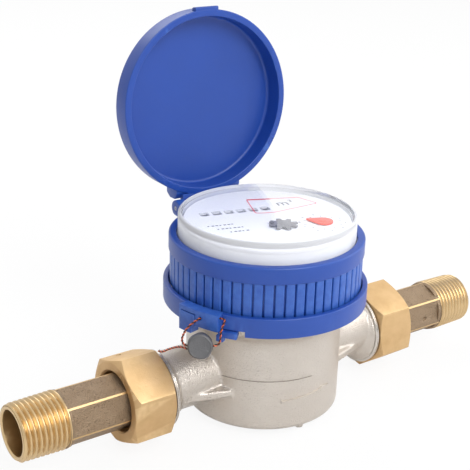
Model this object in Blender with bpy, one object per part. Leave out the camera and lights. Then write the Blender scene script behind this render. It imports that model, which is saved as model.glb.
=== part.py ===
"""Dry dial single jet water meter, DN15, with its unions, seal and hinged lid.

Metres, +Z up. The origin is the centre of the flat foot under the drum. The
pipe runs along X: the inlet is at -X and the outlet at +X. The lid is open.
"""

import math

import bmesh
import bpy
from mathutils import Matrix, Vector

# Clearances
GAP = 0.0003
BOSS_PLAY = 0.0004
TINY = 0.0001

# Pipe line and tails of the body
PIPE_HEIGHT = 0.018
BODY_LENGTH = 0.110
WATER_BORE_R = 0.0080
BORE_DEPTH = 0.019
TAIL_THREAD_R = 0.0132
TAIL_THREAD_LENGTH = 0.0077
COLLAR_LIP = 0.0010
COLLAR_WIDTH = 0.0036
COLLAR_FILLET = 0.0008
NECK_WALL = 0.0032
NECK_RISE = 0.0018
TAIL_ROOT_STEP = 0.0008
WEB_THICKNESS = 0.0030
WEB_DROP = 0.0016
WEB_SPREAD_TAIL = 0.0088
WEB_SPREAD_DRUM = 0.0158
NOZZLE_R = 0.0048
NOZZLE_STEP = 0.0014
NOZZLE_OFFSET = 0.0075
SEAT_DEPTH = 0.0015
SEAT_RING = 0.0020

# Drum, from the foot up
FOOT_R = 0.0210
FOOT_HEIGHT = 0.0022
FLOOR_THICKNESS = 0.0058
CHAMBER_R = 0.0240
CHAMBER_HEIGHT = 0.0300
DRUM_WALL = 0.0050
DRUM_CORNER = 0.0030
FLARE_HEIGHT = 0.0072
HEAD_HEIGHT = 0.0077
HEAD_THREAD_LENGTH = 0.0117
LEDGE_WIDTH = 0.0033
MOUTH_DEPTH = 0.0246
MOUTH_WALL = 0.0051
SHOULDER_WIDTH = 0.0032
RIM_BEVEL = 0.0006
NUB_R = 0.0018
NUB_TURN = -93.0
ARROW_RELIEF = 0.00045
ARROW_START = -113.0
ARROW_END = -70.8
ARROW_HEAD = 10.0
ARROW_Z_START = 0.0141
ARROW_Z_END = 0.0160
ARROW_WIDTH = 0.0011
ARROW_BARB = 2.4
ARROW_STEPS = 12

# Impeller and its bearings
IMPELLER_PLAY = 0.0025
BLADE_COUNT = 9
BLADE_THICKNESS = 0.0016
BLADE_LIFT = 0.0030
BLADE_HEIGHT = 0.0180
HUB_R = 0.0046
DISC_R = 0.0125
DISC_THICKNESS = 0.0012
POST_R = 0.0030
SPIGOT_R = 0.0012
SPIGOT_LENGTH = 0.0018
PIN_R = 0.0013
PIN_SEAT = 0.0030
PIN_RISE = 0.0160
IMPELLER_MAGNET_WIDTH = 0.0032
MAGNET_HEIGHT = 0.0040

# Pressure plate, its ring seal and the magnetic shield
PLATE_THICKNESS = 0.0047
PLATE_BOSS_WALL = 0.0015
SEAL_CORD_R = 0.00085
SEAL_CORD_FACETS = 6
SHIELD_WALL = 0.0012
SHIELD_HEIGHT = 0.0087

# Register cup, dial and clear cover
CUP_WALL = 0.0016
CUP_FLOOR = 0.0020
CUP_FLANGE = 0.0017
CUP_UPPER_WALL = 0.0014
CUP_UPPER_HEIGHT = 0.0072
FLANGE_WIDTH = 0.0017
COVER_WALL = 0.0014
COVER_FLANGE = 0.0014
COVER_THICKNESS = 0.0026
COVER_ROUNDING = 0.0012
WASHER_THICKNESS = 0.0005
DIAL_THICKNESS = 0.0008
DIAL_EDGE = 0.0006
DIAL_TURN = -15.48
WINDOW_WEB = 0.00135
WINDOW_HEIGHT = 0.0040

# Number rollers; a share is of the register cup's inner radius, in the dial's own directions
ROLLER_COUNT = 6
ROLLER_R = 0.0030
ROLLER_PLAY = 0.00055
ROLLER_PITCH_SHARE = 0.19874
ROLLER_LAST_SHARE = 0.11297
ROLLER_V_SHARE = 0.38494
ROLLER_SHAFT_R = 0.0007
EAR_THICKNESS = 0.0012
EAR_RIGHT_SHARE = 0.46025
EAR_WALL = 0.0014

# Gear train of the register, placed in the same shares
FRAME_LIFT = 0.0037
FRAME_THICKNESS = 0.0012
FRAME_PILLAR_SHARE = 0.06695
FRAME_PILLAR_TURNS = (75.0, 165.0, 255.0)
FRAME_PILLAR_PLACE_SHARE = 0.88703
TOP_PLATE_THICKNESS = 0.0012
SPINDLE_R = 0.0008
GEAR_THICKNESS = 0.0012
PINION_HEIGHT = 0.0020
GEAR_LIFT = 0.0009
FOLLOWER_MAGNET_R = 0.0065
FOLLOWER_MAGNET_HEIGHT = 0.0018
CARRIER_R = 0.0033
CARRIER_HUB_R = 0.0016
TOOTH_TIP = 0.6
TOOTH_ROOT = 1.5
TOOTH_TIP_SHARE = 0.09
STAR_SHARES = (0.09623, -0.40167)
MIDDLE_SHARES = (0.41423, -0.24686)
POINTER_SHARES = (0.71548, -0.43515)
FOLLOWER_TEETH = 8
STAR_WHEEL_TEETH = 18
STAR_PINION_TEETH = 6
MIDDLE_WHEEL_TEETH = 20
MIDDLE_PINION_TEETH = 8
POINTER_WHEEL_TEETH = 19
DRIVE_WHEEL_TEETH = 27
DRIVE_PINION_TEETH = 9
STAR_POINTS = 8
STAR_TIP_R = 0.0053
STAR_ROOT_R = 0.0034
STAR_THICKNESS = 0.0006
STAR_ROOT_TURN = 14.0
STAR_TIP_TURN = 9.0
POINTER_LENGTH = 0.0062
POINTER_TAIL = 0.0030
POINTER_HUB_WALL = 0.0014
POINTER_HUB_TURN = 25.0
POINTER_TIP_HALF = 0.0004
POINTER_TAIL_HALF = 0.0012
POINTER_REST = -55.0

# Locking ring
RING_WALL = 0.0032
RING_TOP_WALL = 0.0013
RING_LIP = 0.0016
RING_BAND_HEIGHT = 0.0061
RING_ROOT_DEPTH = 0.0015
RIB_COUNT = 60
RIB_HEIGHT = 0.0009
RIB_FLANK = 0.0007
LIP_PLAY = 0.0004

# Hinge and lid
HINGE_TURN = 87.25
HINGE_DROP = 0.0012
HINGE_PLAY = 0.0004
KNUCKLE_R = 0.0027
KNUCKLE_HALF = 0.0119
EAR_R = 0.0032
EAR_WIDTH = 0.0038
EAR_ARC_START = -60.0
EAR_ARC_END = 130.0
EAR_STEPS = 7
HINGE_PIN_R = 0.0012
LID_OPEN = 92.92
LID_PLAY = 0.0004
LID_INSET = 0.0003
LID_FLOOR = 0.0014
LID_ROUNDING = 0.0014
TAB_HALF = 0.0055
TAB_REACH = 0.0016
TAB_THICKNESS = 0.0030

# Seal band
BAND_WALL = 0.0019
BAND_HEIGHT = 0.0074
BAND_LIFT = 0.0001
CLASP_START = 186.0
CLASP_END = 210.0
CLASP_DEPTH = 0.0032
CLASP_LIFT = 0.0020
CLASP_RISE = 0.0007
CLASP_FOOT_END = 194.0
CLASP_FOOT_DROP = 0.0014
CLASP_STEPS = 6
TONGUE_START = 207.0
TONGUE_END = 218.8
TONGUE_DEPTH = 0.0016
TONGUE_DROP = 0.0005
TONGUE_HEIGHT = 0.0022
TONGUE_TAB_START = 208.0
TONGUE_TAB_END = 211.6
TONGUE_TAB_DROP = 0.0022
TONGUE_TAB_INSET = 0.0002
NOTCH_START = 218.4
NOTCH_END = 222.7
NOTCH_HEIGHT = 0.0022

# Union nuts, gaskets, tailpieces and strainer
NUT_FLATS = 0.0293
NUT_START = 0.0005
NUT_BEVEL = 0.0015
NUT_FLOOR = 0.0040
NUT_BORE_BEVEL = 0.0006
NUT_CHAMFER = 30.0
NUT_TURN_INLET = 81.23
NUT_TURN_OUTLET = 36.48
GASKET_THICKNESS = 0.0015
TAIL_FLANGE = 0.0030
TAIL_FLANGE_STEP = 0.0009
TAIL_BORE_R = 0.0080
TAIL_HEX_FLATS = 0.0182
TAIL_HEX_R = 0.01024
TAIL_HEX_LENGTH = 0.0259
TAIL_END_THREAD_R = 0.01048
TAIL_END_LENGTH = 0.0173
TAIL_BEVEL = 0.0012
TAIL_TURN_INLET = 42.94
TAIL_TURN_OUTLET = 37.25
STRAINER_WALL = 0.0009
STRAINER_LENGTH = 0.0150
STRAINER_SLOT = 0.0022
STRAINER_SLOTS = 3

# Lead seal and its wire
WIRE_R = 0.00045
WIRE_STEPS = 2
WIRE_HOLE_R = 0.00075
SEAL_R = 0.0041
SEAL_THICKNESS = 0.0046
SEAL_PLACE = (-0.0418, -0.0192, 0.0417)
SEAL_FACING = (-0.56, -0.79, 0.25)
WIRE_HOLE_SIDE_TURN = 200.0
WIRE_HOLE_SIDE_DROP = 0.0026
WIRE_HOLE_SIDE_DEPTH = 0.0022
WIRE_HOLE_END_INSET = 0.0016
WIRE_HOLE_END_DROP = 0.0013
WIRE_HOLE_END_DEPTH = 0.0014

# Facets of the round shapes
ROUND = 40
MIDDLING = 24
SMALL = 16
FINE = 8
SHARP_ANGLE = math.radians(32.0)

# Heights that follow from the sizes above
FLOOR_Z = FOOT_HEIGHT + FLOOR_THICKNESS
LEDGE_Z = FLOOR_Z + CHAMBER_HEIGHT
RIM_Z = LEDGE_Z + MOUTH_DEPTH
SHOULDER_Z = RIM_Z - HEAD_THREAD_LENGTH
HEAD_Z = SHOULDER_Z - HEAD_HEIGHT
FLARE_Z = HEAD_Z - FLARE_HEIGHT
PLATE_Z = LEDGE_Z + GAP
PLATE_TOP_Z = PLATE_Z + PLATE_THICKNESS
CUP_Z = PLATE_TOP_Z + GAP
CUP_FLOOR_Z = CUP_Z + CUP_FLOOR
CUP_FLANGE_Z = RIM_Z + GAP
CUP_LEDGE_Z = CUP_FLANGE_Z + CUP_FLANGE
CUP_RIM_Z = CUP_LEDGE_Z + CUP_UPPER_HEIGHT
DIAL_Z = CUP_RIM_Z + GAP
DIAL_TOP_Z = DIAL_Z + DIAL_THICKNESS
STAR_Z = DIAL_TOP_Z + GAP
COVER_INNER_Z = STAR_Z + STAR_THICKNESS + GAP
COVER_TOP_Z = COVER_INNER_Z + COVER_THICKNESS
COVER_FLANGE_Z = CUP_LEDGE_Z + GAP
WASHER_Z = COVER_FLANGE_Z + COVER_FLANGE + GAP
LIP_Z = WASHER_Z + WASHER_THICKNESS + GAP
RING_TOP_Z = LIP_Z + RING_LIP
RING_Z = SHOULDER_Z + GAP
RING_BAND_Z = RING_TOP_Z - RING_BAND_HEIGHT
RIM_PLANE_Z = RING_TOP_Z + LID_PLAY
HINGE_Z = RIM_PLANE_Z - HINGE_DROP
LID_DEPTH = COVER_TOP_Z + GAP - RIM_PLANE_Z

# Radii that follow from the sizes above
DRUM_R = CHAMBER_R + DRUM_WALL
MOUTH_R = CHAMBER_R + LEDGE_WIDTH
HEAD_THREAD_R = MOUTH_R + MOUTH_WALL
HEAD_R = HEAD_THREAD_R + SHOULDER_WIDTH
NECK_R = WATER_BORE_R + NECK_WALL
COLLAR_R = TAIL_THREAD_R + COLLAR_LIP
RING_BORE_R = HEAD_THREAD_R + GAP
RING_R = RING_BORE_R + RING_WALL
RING_CAVITY_R = RING_R - RING_TOP_WALL
RING_ROOT_R = RING_R - RING_ROOT_DEPTH
FLANGE_R = RING_CAVITY_R - GAP
COVER_R = FLANGE_R - FLANGE_WIDTH
CUP_UPPER_R = COVER_R - COVER_WALL - GAP
CUP_UPPER_INNER_R = CUP_UPPER_R - CUP_UPPER_WALL
PLATE_R = MOUTH_R - GAP
SHIELD_INNER_R = PLATE_R - SHIELD_WALL
CUP_R = SHIELD_INNER_R - GAP
CUP_INNER_R = CUP_R - CUP_WALL
DIAL_R = CUP_UPPER_R - DIAL_EDGE
LIP_INNER_R = COVER_R + LIP_PLAY
BAND_INNER_R = HEAD_R + GAP
BAND_R = BAND_INNER_R + BAND_WALL
BAND_Z = HEAD_Z + GAP + BAND_LIFT
LID_R = RING_R - LID_INSET
LID_INNER_R = COVER_R + LID_PLAY
HINGE_REACH = RING_R + HINGE_PLAY + KNUCKLE_R

# The register's layout follows its cup
STAR_U = STAR_SHARES[0] * CUP_INNER_R
STAR_V = STAR_SHARES[1] * CUP_INNER_R
MIDDLE_U = MIDDLE_SHARES[0] * CUP_INNER_R
MIDDLE_V = MIDDLE_SHARES[1] * CUP_INNER_R
POINTER_U = POINTER_SHARES[0] * CUP_INNER_R
POINTER_V = POINTER_SHARES[1] * CUP_INNER_R
FRAME_PILLAR_R = FRAME_PILLAR_SHARE * CUP_INNER_R
FRAME_PILLAR_PLACE = FRAME_PILLAR_PLACE_SHARE * CUP_INNER_R
ROLLER_PITCH = ROLLER_PITCH_SHARE * CUP_INNER_R
ROLLER_WIDTH = ROLLER_PITCH - ROLLER_PLAY
ROLLER_LAST_U = ROLLER_LAST_SHARE * CUP_INNER_R
ROLLER_V = ROLLER_V_SHARE * CUP_INNER_R
EAR_RIGHT_U = EAR_RIGHT_SHARE * CUP_INNER_R
WINDOW_WIDTH = ROLLER_PITCH - WINDOW_WEB

# Gear train: the module of each pair follows from its centres and teeth
STAR_REACH = math.hypot(STAR_U, STAR_V)
FIRST_MODULE = 2 * STAR_REACH / (FOLLOWER_TEETH + STAR_WHEEL_TEETH)
MIDDLE_REACH = math.hypot(MIDDLE_U - STAR_U, MIDDLE_V - STAR_V)
SECOND_MODULE = 2 * MIDDLE_REACH / (STAR_PINION_TEETH + MIDDLE_WHEEL_TEETH)
POINTER_REACH = math.hypot(POINTER_U - MIDDLE_U, POINTER_V - MIDDLE_V)
THIRD_MODULE = 2 * POINTER_REACH / (MIDDLE_PINION_TEETH + POINTER_WHEEL_TEETH)
DRIVE_REACH = SECOND_MODULE * (MIDDLE_WHEEL_TEETH + DRIVE_WHEEL_TEETH) / 2
DRIVE_V = ROLLER_V
DRIVE_U = MIDDLE_U - math.sqrt(DRIVE_REACH ** 2 - (DRIVE_V - MIDDLE_V) ** 2)
FRAME_Z = CUP_FLOOR_Z + FRAME_LIFT
FRAME_TOP_Z = FRAME_Z + FRAME_THICKNESS
TOP_PLATE_Z = CUP_LEDGE_Z + GAP
TOP_PLATE_TOP_Z = TOP_PLATE_Z + TOP_PLATE_THICKNESS
ROLLER_Z = DIAL_Z - GAP - ROLLER_R
ROLLER_FIRST_U = ROLLER_LAST_U - ROLLER_PITCH * (ROLLER_COUNT - 1)
EAR_LEFT_U = ROLLER_FIRST_U - ROLLER_WIDTH / 2 - GAP - EAR_THICKNESS
LEVEL_FIRST = FRAME_TOP_Z + GEAR_LIFT
LEVEL_SECOND = TOP_PLATE_Z - GEAR_LIFT - PINION_HEIGHT
LEVEL_THIRD = TOP_PLATE_TOP_Z + GAP

# Pipe line stations, measured from the meter's middle
FACE_X = BODY_LENGTH / 2
GASKET_X = FACE_X + GAP
TAIL_X = GASKET_X + GASKET_THICKNESS + GAP
NUT_SHOULDER_X = TAIL_X + TAIL_FLANGE + GAP
COLLAR_X = FACE_X - TAIL_THREAD_LENGTH
NUT_X = COLLAR_X + NUT_START
NUT_END_X = NUT_SHOULDER_X + NUT_FLOOR
NUT_BORE_R = TAIL_THREAD_R + GAP
TAIL_FLANGE_R = NUT_BORE_R - TAIL_FLANGE_STEP
NUT_HOLE_R = max(TAIL_HEX_R, TAIL_END_THREAD_R) + BOSS_PLAY
TAIL_HEX_X = TAIL_X + TAIL_FLANGE
TAIL_THREAD_X = TAIL_HEX_X + TAIL_HEX_LENGTH
TAIL_END_X = TAIL_THREAD_X + TAIL_END_LENGTH

materials = {}


def clear_scene():
    """Removes what the start-up scene holds."""
    for thing in list(bpy.data.objects):
        bpy.data.objects.remove(thing, do_unlink=True)


def material(name, colour, roughness, metallic=0.0, transmission=0.0):
    """One Principled material, made once for each name."""
    if name not in materials:
        made = bpy.data.materials.new(name)
        made.use_nodes = True
        shader = made.node_tree.nodes["Principled BSDF"]
        shader.inputs["Base Color"].default_value = (*colour, 1.0)
        shader.inputs["Roughness"].default_value = roughness
        shader.inputs["Metallic"].default_value = metallic
        shader.inputs["Transmission Weight"].default_value = transmission
        materials[name] = made
    return materials[name]


def nickel():
    return material("nickel_plate", (0.62, 0.60, 0.56), 0.30, 1.0)


def brass():
    return material("brass", (0.80, 0.58, 0.26), 0.28, 1.0)


def blue():
    return material("blue_plastic", (0.02, 0.10, 0.55), 0.38)


def white():
    return material("white_plastic", (0.86, 0.86, 0.86), 0.45)


def steel():
    return material("steel", (0.56, 0.57, 0.58), 0.32, 1.0)


def magnet():
    return material("magnet", (0.12, 0.12, 0.13), 0.55)


def rubber():
    return material("rubber", (0.05, 0.05, 0.05), 0.80)


def polar(radius, turn, z=0.0):
    """A point at a radius and a turn in degrees about Z."""
    angle = math.radians(turn)
    return Vector((radius * math.cos(angle), radius * math.sin(angle), z))


def dial_point(u, v, z=0.0):
    """A point given in the dial's own directions."""
    return Matrix.Rotation(math.radians(DIAL_TURN), 3, "Z") @ Vector((u, v, z))


def lathe(profile, steps):
    """Turns an outline of (radius, height) points about Z.

    An outline that starts and ends on the axis gives a solid with flat ends,
    and any other is closed and gives a ring.
    """
    bm = bmesh.new()
    solid = profile[0][0] == 0.0 and profile[-1][0] == 0.0
    off_axis = [point for point in profile if point[0] > 0.0]
    verts = [bm.verts.new((radius, 0.0, height)) for radius, height in off_axis]
    edges = [bm.edges.new(pair) for pair in zip(verts, verts[1:])]
    if not solid:
        edges.append(bm.edges.new((verts[-1], verts[0])))
    bmesh.ops.spin(
        bm, geom=verts + edges, cent=(0.0, 0.0, 0.0), axis=(0.0, 0.0, 1.0),
        angle=math.tau, steps=steps, use_merge=True,
    )
    bmesh.ops.remove_doubles(bm, verts=bm.verts[:], dist=1e-6)
    if solid:
        bmesh.ops.holes_fill(bm, edges=bm.edges[:])
    return bm


def prism(outline, bottom, top):
    """Extrudes an outline of (x, y) points from one height to another."""
    bm = bmesh.new()
    face = bm.faces.new([bm.verts.new((x, y, bottom)) for x, y in outline])
    raised = bmesh.ops.extrude_face_region(bm, geom=[face])
    moved = [item for item in raised["geom"] if isinstance(item, bmesh.types.BMVert)]
    bmesh.ops.translate(bm, verts=moved, vec=(0.0, 0.0, top - bottom))
    return bm


def block(low, high):
    """A box between two corners."""
    outline = ((low[0], low[1]), (high[0], low[1]), (high[0], high[1]), (low[0], high[1]))
    return prism(outline, low[2], high[2])


def ring_points(radius, steps, turn=0.0):
    """Points evenly round a circle, as an outline."""
    return [tuple(polar(radius, turn + 360.0 * index / steps))[:2] for index in range(steps)]


def arc(centre, radius, start, end, steps):
    """Outline points along an arc, its ends included."""
    points = []
    for index in range(steps + 1):
        angle = math.radians(start + (end - start) * index / steps)
        points.append((centre[0] + radius * math.cos(angle), centre[1] + radius * math.sin(angle)))
    return points


def rod(radius, bottom, top, steps):
    """A plain round bar along Z."""
    return prism(ring_points(radius, steps), bottom, top)


def tube(inner, outer, bottom, top, steps):
    """A plain round sleeve along Z."""
    return lathe([(inner, bottom), (outer, bottom), (outer, top), (inner, top)], steps)


def placed(bm, matrix):
    """Moves or turns a mesh that is being made."""
    bmesh.ops.transform(bm, matrix=matrix, verts=bm.verts[:])
    return bm


def shift(x, y, z):
    """A move without any turn."""
    return Matrix.Translation((x, y, z))


def along_pipe(side):
    """Turns a shape along Z to lie on the pipe line, pointing to -X or +X."""
    turn = Matrix(((0, 0, side, 0), (-1, 0, 0, 0), (0, 1, 0, 0), (0, 0, 0, 1)))
    return shift(0.0, 0.0, PIPE_HEIGHT) @ turn


def piece(name, bm, finish, origin=(0.0, 0.0, 0.0)):
    """Makes the object of one sub-part, with its origin where it is told."""
    bmesh.ops.translate(bm, verts=bm.verts[:], vec=[-value for value in origin])
    bmesh.ops.recalc_face_normals(bm, faces=bm.faces[:])
    mesh = bpy.data.meshes.new(name)
    bm.to_mesh(mesh)
    bm.free()
    mesh.shade_smooth()
    mesh.set_sharp_from_angle(angle=SHARP_ANGLE)
    if finish:
        mesh.materials.append(finish)
    made = bpy.data.objects.new(name, mesh)
    made.location = origin
    bpy.context.scene.collection.objects.link(made)
    return made


def combine(target, bm, operation, label):
    """Adds, cuts or intersects with a hidden tool that moves with its piece."""
    tool = piece(target.name + "_" + label, bm, None, target.location[:])
    tool.location = (0.0, 0.0, 0.0)
    tool.parent = target
    tool.hide_render = True
    tool.display_type = "WIRE"
    step = target.modifiers.new(label, "BOOLEAN")
    step.operation = operation
    step.solver = "EXACT"
    step.object = tool
    return tool


def add(target, bm, label):
    return combine(target, bm, "UNION", label)


def cut(target, bm, label):
    combine(target, bm, "DIFFERENCE", label)


def keep(target, bm, label):
    combine(target, bm, "INTERSECT", label)


def drum_outline():
    """The drum from the centre of its foot to the top of its mouth."""
    corner = (DRUM_R - DRUM_CORNER, FOOT_HEIGHT + DRUM_CORNER)
    points = [(0.0, 0.0), (FOOT_R - RIM_BEVEL, 0.0), (FOOT_R, RIM_BEVEL), (FOOT_R, FOOT_HEIGHT)]
    points += arc(corner, DRUM_CORNER, -90.0, 0.0, 2)
    flare = HEAD_R - DRUM_R
    for index in range(4):
        angle = math.radians(90.0 * index / 3)
        points.append((
            DRUM_R + flare * (1.0 - math.cos(angle)),
            FLARE_Z + FLARE_HEIGHT * math.sin(angle),
        ))
    points += [(HEAD_R, SHOULDER_Z), (HEAD_THREAD_R, SHOULDER_Z)]
    points += [(HEAD_THREAD_R, RIM_Z), (0.0, RIM_Z)]
    return points


def chamber_outline():
    """The hollow of the drum, with the seat of the pivot pin in its floor."""
    above = RIM_Z + MOUTH_WALL
    pin_hole = PIN_R + GAP
    return [
        (0.0, FLOOR_Z - PIN_SEAT), (pin_hole, FLOOR_Z - PIN_SEAT), (pin_hole, FLOOR_Z),
        (CHAMBER_R, FLOOR_Z), (CHAMBER_R, LEDGE_Z), (MOUTH_R, LEDGE_Z),
        (MOUTH_R, above), (0.0, above),
    ]


def tail(side):
    """One tail of the body: a filleted collar and a thread on the pipe line."""
    root_r = NECK_R - NECK_RISE - TAIL_ROOT_STEP
    rise = COLLAR_R - root_r
    fillet_x = COLLAR_X - COLLAR_WIDTH - COLLAR_FILLET
    points = [(0.0, fillet_x - COLLAR_FILLET), (root_r, fillet_x - COLLAR_FILLET)]
    for index in range(3):
        angle = math.radians(90.0 * index / 2)
        points.append((
            root_r + rise * (1.0 - math.cos(angle)),
            fillet_x + COLLAR_FILLET * math.sin(angle),
        ))
    points += [(COLLAR_R, COLLAR_X), (TAIL_THREAD_R, COLLAR_X)]
    points += [(TAIL_THREAD_R, FACE_X - RIM_BEVEL), (TAIL_THREAD_R - RIM_BEVEL, FACE_X), (0.0, FACE_X)]
    return placed(lathe(points, MIDDLING), along_pipe(side))


def neck(side):
    """The round neck that runs from the drum wall to the collar."""
    inside = CHAMBER_R - DRUM_WALL
    shape = rod(NECK_R, inside, COLLAR_X - COLLAR_WIDTH / 2, MIDDLING)
    return placed(shape, shift(0.0, 0.0, NECK_RISE) @ along_pipe(side))


def web(side):
    """The flat web that stiffens a tail on both its sides."""
    tail_x = side * (COLLAR_X - COLLAR_WIDTH / 2)
    drum_x = side * CHAMBER_R
    outline = (
        (tail_x, -WEB_SPREAD_TAIL), (tail_x, WEB_SPREAD_TAIL),
        (drum_x, WEB_SPREAD_DRUM), (drum_x, -WEB_SPREAD_DRUM),
    )
    middle = PIPE_HEIGHT - WEB_DROP
    return prism(outline, middle - WEB_THICKNESS / 2, middle + WEB_THICKNESS / 2)


def water_bore(side):
    """The straight bore of a tail, with the seat for the strainer's rim."""
    end = FACE_X - BORE_DEPTH
    points = [
        (0.0, end), (WATER_BORE_R, end), (WATER_BORE_R, FACE_X - SEAT_DEPTH),
        (WATER_BORE_R + SEAT_RING, FACE_X - SEAT_DEPTH),
        (WATER_BORE_R + SEAT_RING, FACE_X + SEAT_DEPTH), (0.0, FACE_X + SEAT_DEPTH),
    ]
    return placed(lathe(points, MIDDLING), along_pipe(side))


def nozzle(side):
    """The jet that leads the water to one side of the impeller."""
    start = FACE_X - BORE_DEPTH + SEAT_DEPTH
    end = CHAMBER_R - DRUM_WALL / 2
    cone = lathe([(0.0, end), (NOZZLE_R, end), (WATER_BORE_R - NOZZLE_STEP, start), (0.0, start)], SMALL)
    slant = Matrix.Identity(4)
    slant[1][0] = side * NOZZLE_OFFSET / (end - start)
    slant[1][3] = -NOZZLE_OFFSET * start / (end - start)
    return placed(cone, slant @ along_pipe(side))


def flow_arrow():
    """The raised arrow on the front of the drum, laid round its wall."""
    rings = []
    for index in range(ARROW_STEPS + 1):
        share = index / ARROW_STEPS
        turn = ARROW_START + (ARROW_END - ARROW_START) * share
        head = (ARROW_END - turn) / ARROW_HEAD
        half = ARROW_WIDTH if head > 1.0 else max(ARROW_BARB * ARROW_WIDTH * head, TINY)
        middle = ARROW_Z_START + (ARROW_Z_END - ARROW_Z_START) * share
        rings.append([
            polar(DRUM_R - ARROW_RELIEF, turn, middle - half),
            polar(DRUM_R + ARROW_RELIEF, turn, middle - half),
            polar(DRUM_R + ARROW_RELIEF, turn, middle + half),
            polar(DRUM_R - ARROW_RELIEF, turn, middle + half),
        ])
    bm = bmesh.new()
    verts = [[bm.verts.new(point) for point in ring] for ring in rings]
    for ring, after in zip(verts, verts[1:]):
        for index in range(4):
            beside = (index + 1) % 4
            bm.faces.new((ring[index], ring[beside], after[beside], after[index]))
    bm.faces.new(verts[0])
    bm.faces.new(list(reversed(verts[-1])))
    return bm


def make_body():
    """The cast drum with its two tails, plated after machining."""
    body = piece("body_casting", lathe(drum_outline(), ROUND), nickel())
    for side, label in ((-1, "inlet"), (1, "outlet")):
        add(body, neck(side), label + "_neck")
        add(body, tail(side), label + "_tail")
        add(body, web(side), label + "_web")
    nub_place = polar(DRUM_R - DRUM_CORNER - NUB_R / 2, NUB_TURN)
    nub = placed(rod(NUB_R, 0.0, FLOOR_Z - DRUM_CORNER, FINE), shift(*nub_place))
    add(body, nub, "foot_nub")
    add(body, flow_arrow(), "flow_arrow")
    for side, label in ((-1, "inlet"), (1, "outlet")):
        cut(body, water_bore(side), label + "_bore")
        cut(body, nozzle(side), label + "_nozzle")
    cut(body, lathe(chamber_outline(), ROUND), "chamber")


def make_strainer():
    """The cup of slots that keeps grit out of the chamber."""
    outer = WATER_BORE_R - GAP
    rim = WATER_BORE_R + SEAT_RING - GAP
    seat = FACE_X - SEAT_DEPTH + GAP
    rim_end = FACE_X - GAP
    end = seat - STRAINER_LENGTH
    inner = outer - STRAINER_WALL
    points = [
        (0.0, end), (outer, end), (outer, seat), (rim, seat),
        (rim, rim_end), (inner, rim_end), (inner, end + STRAINER_WALL), (0.0, end + STRAINER_WALL),
    ]
    origin = (-FACE_X, 0.0, PIPE_HEIGHT)
    strainer = piece("inlet_strainer", placed(lathe(points, SMALL), along_pipe(-1)), white(), origin)
    for index in range(STRAINER_SLOTS):
        low = (-STRAINER_SLOT / 2, -WATER_BORE_R, end + STRAINER_SLOT)
        high = (STRAINER_SLOT / 2, WATER_BORE_R, seat - STRAINER_SLOT)
        turn = Matrix.Rotation(math.pi * index / STRAINER_SLOTS, 4, "Z")
        cut(strainer, placed(block(low, high), along_pipe(-1) @ turn), f"slot_{index + 1}")


def blade_outline():
    """The hub and blades of the impeller seen from above."""
    tip = CHAMBER_R - IMPELLER_PLAY
    points = []
    for index in range(BLADE_COUNT):
        turn = 360.0 * index / BLADE_COUNT
        tip_half = math.degrees(BLADE_THICKNESS / 2 / tip)
        root_half = math.degrees(BLADE_THICKNESS / 2 / HUB_R)
        points.append(tuple(polar(HUB_R, turn - root_half))[:2])
        points.append(tuple(polar(tip, turn - tip_half))[:2])
        points.append(tuple(polar(tip, turn + tip_half))[:2])
        points.append(tuple(polar(HUB_R, turn + root_half))[:2])
    return points


def make_impeller():
    """The bladed wheel, its pivot pin and the magnet that drives the dial."""
    blade_z = FLOOR_Z + BLADE_LIFT
    blade_top = blade_z + BLADE_HEIGHT
    disc_top = blade_top + DISC_THICKNESS
    post_top = disc_top + MAGNET_HEIGHT + BOSS_PLAY
    spigot_top = post_top + SPIGOT_LENGTH
    impeller = piece("impeller", prism(blade_outline(), blade_z, blade_top), white())
    post = [
        (0.0, blade_top - DISC_THICKNESS), (DISC_R, blade_top - DISC_THICKNESS), (DISC_R, disc_top),
        (POST_R, disc_top), (POST_R, post_top), (SPIGOT_R, post_top), (SPIGOT_R, spigot_top),
        (0.0, spigot_top),
    ]
    add(impeller, lathe(post, SMALL), "disc_and_post")
    pin_top = FLOOR_Z + PIN_RISE
    bore = rod(PIN_R + GAP, blade_z - BLADE_LIFT, pin_top + GAP, FINE)
    cut(impeller, bore, "pin_bore")
    ring = tube(POST_R + GAP, POST_R + GAP + IMPELLER_MAGNET_WIDTH, disc_top + GAP,
                disc_top + MAGNET_HEIGHT, SMALL)
    piece("impeller_magnet", ring, magnet())
    pin = lathe([
        (0.0, FLOOR_Z - PIN_SEAT + GAP), (PIN_R, FLOOR_Z - PIN_SEAT + GAP),
        (PIN_R, pin_top - PIN_R / 2), (PIN_R / 2, pin_top), (0.0, pin_top),
    ], FINE)
    piece("pivot_pin", pin, steel())
    return post_top, spigot_top


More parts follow.
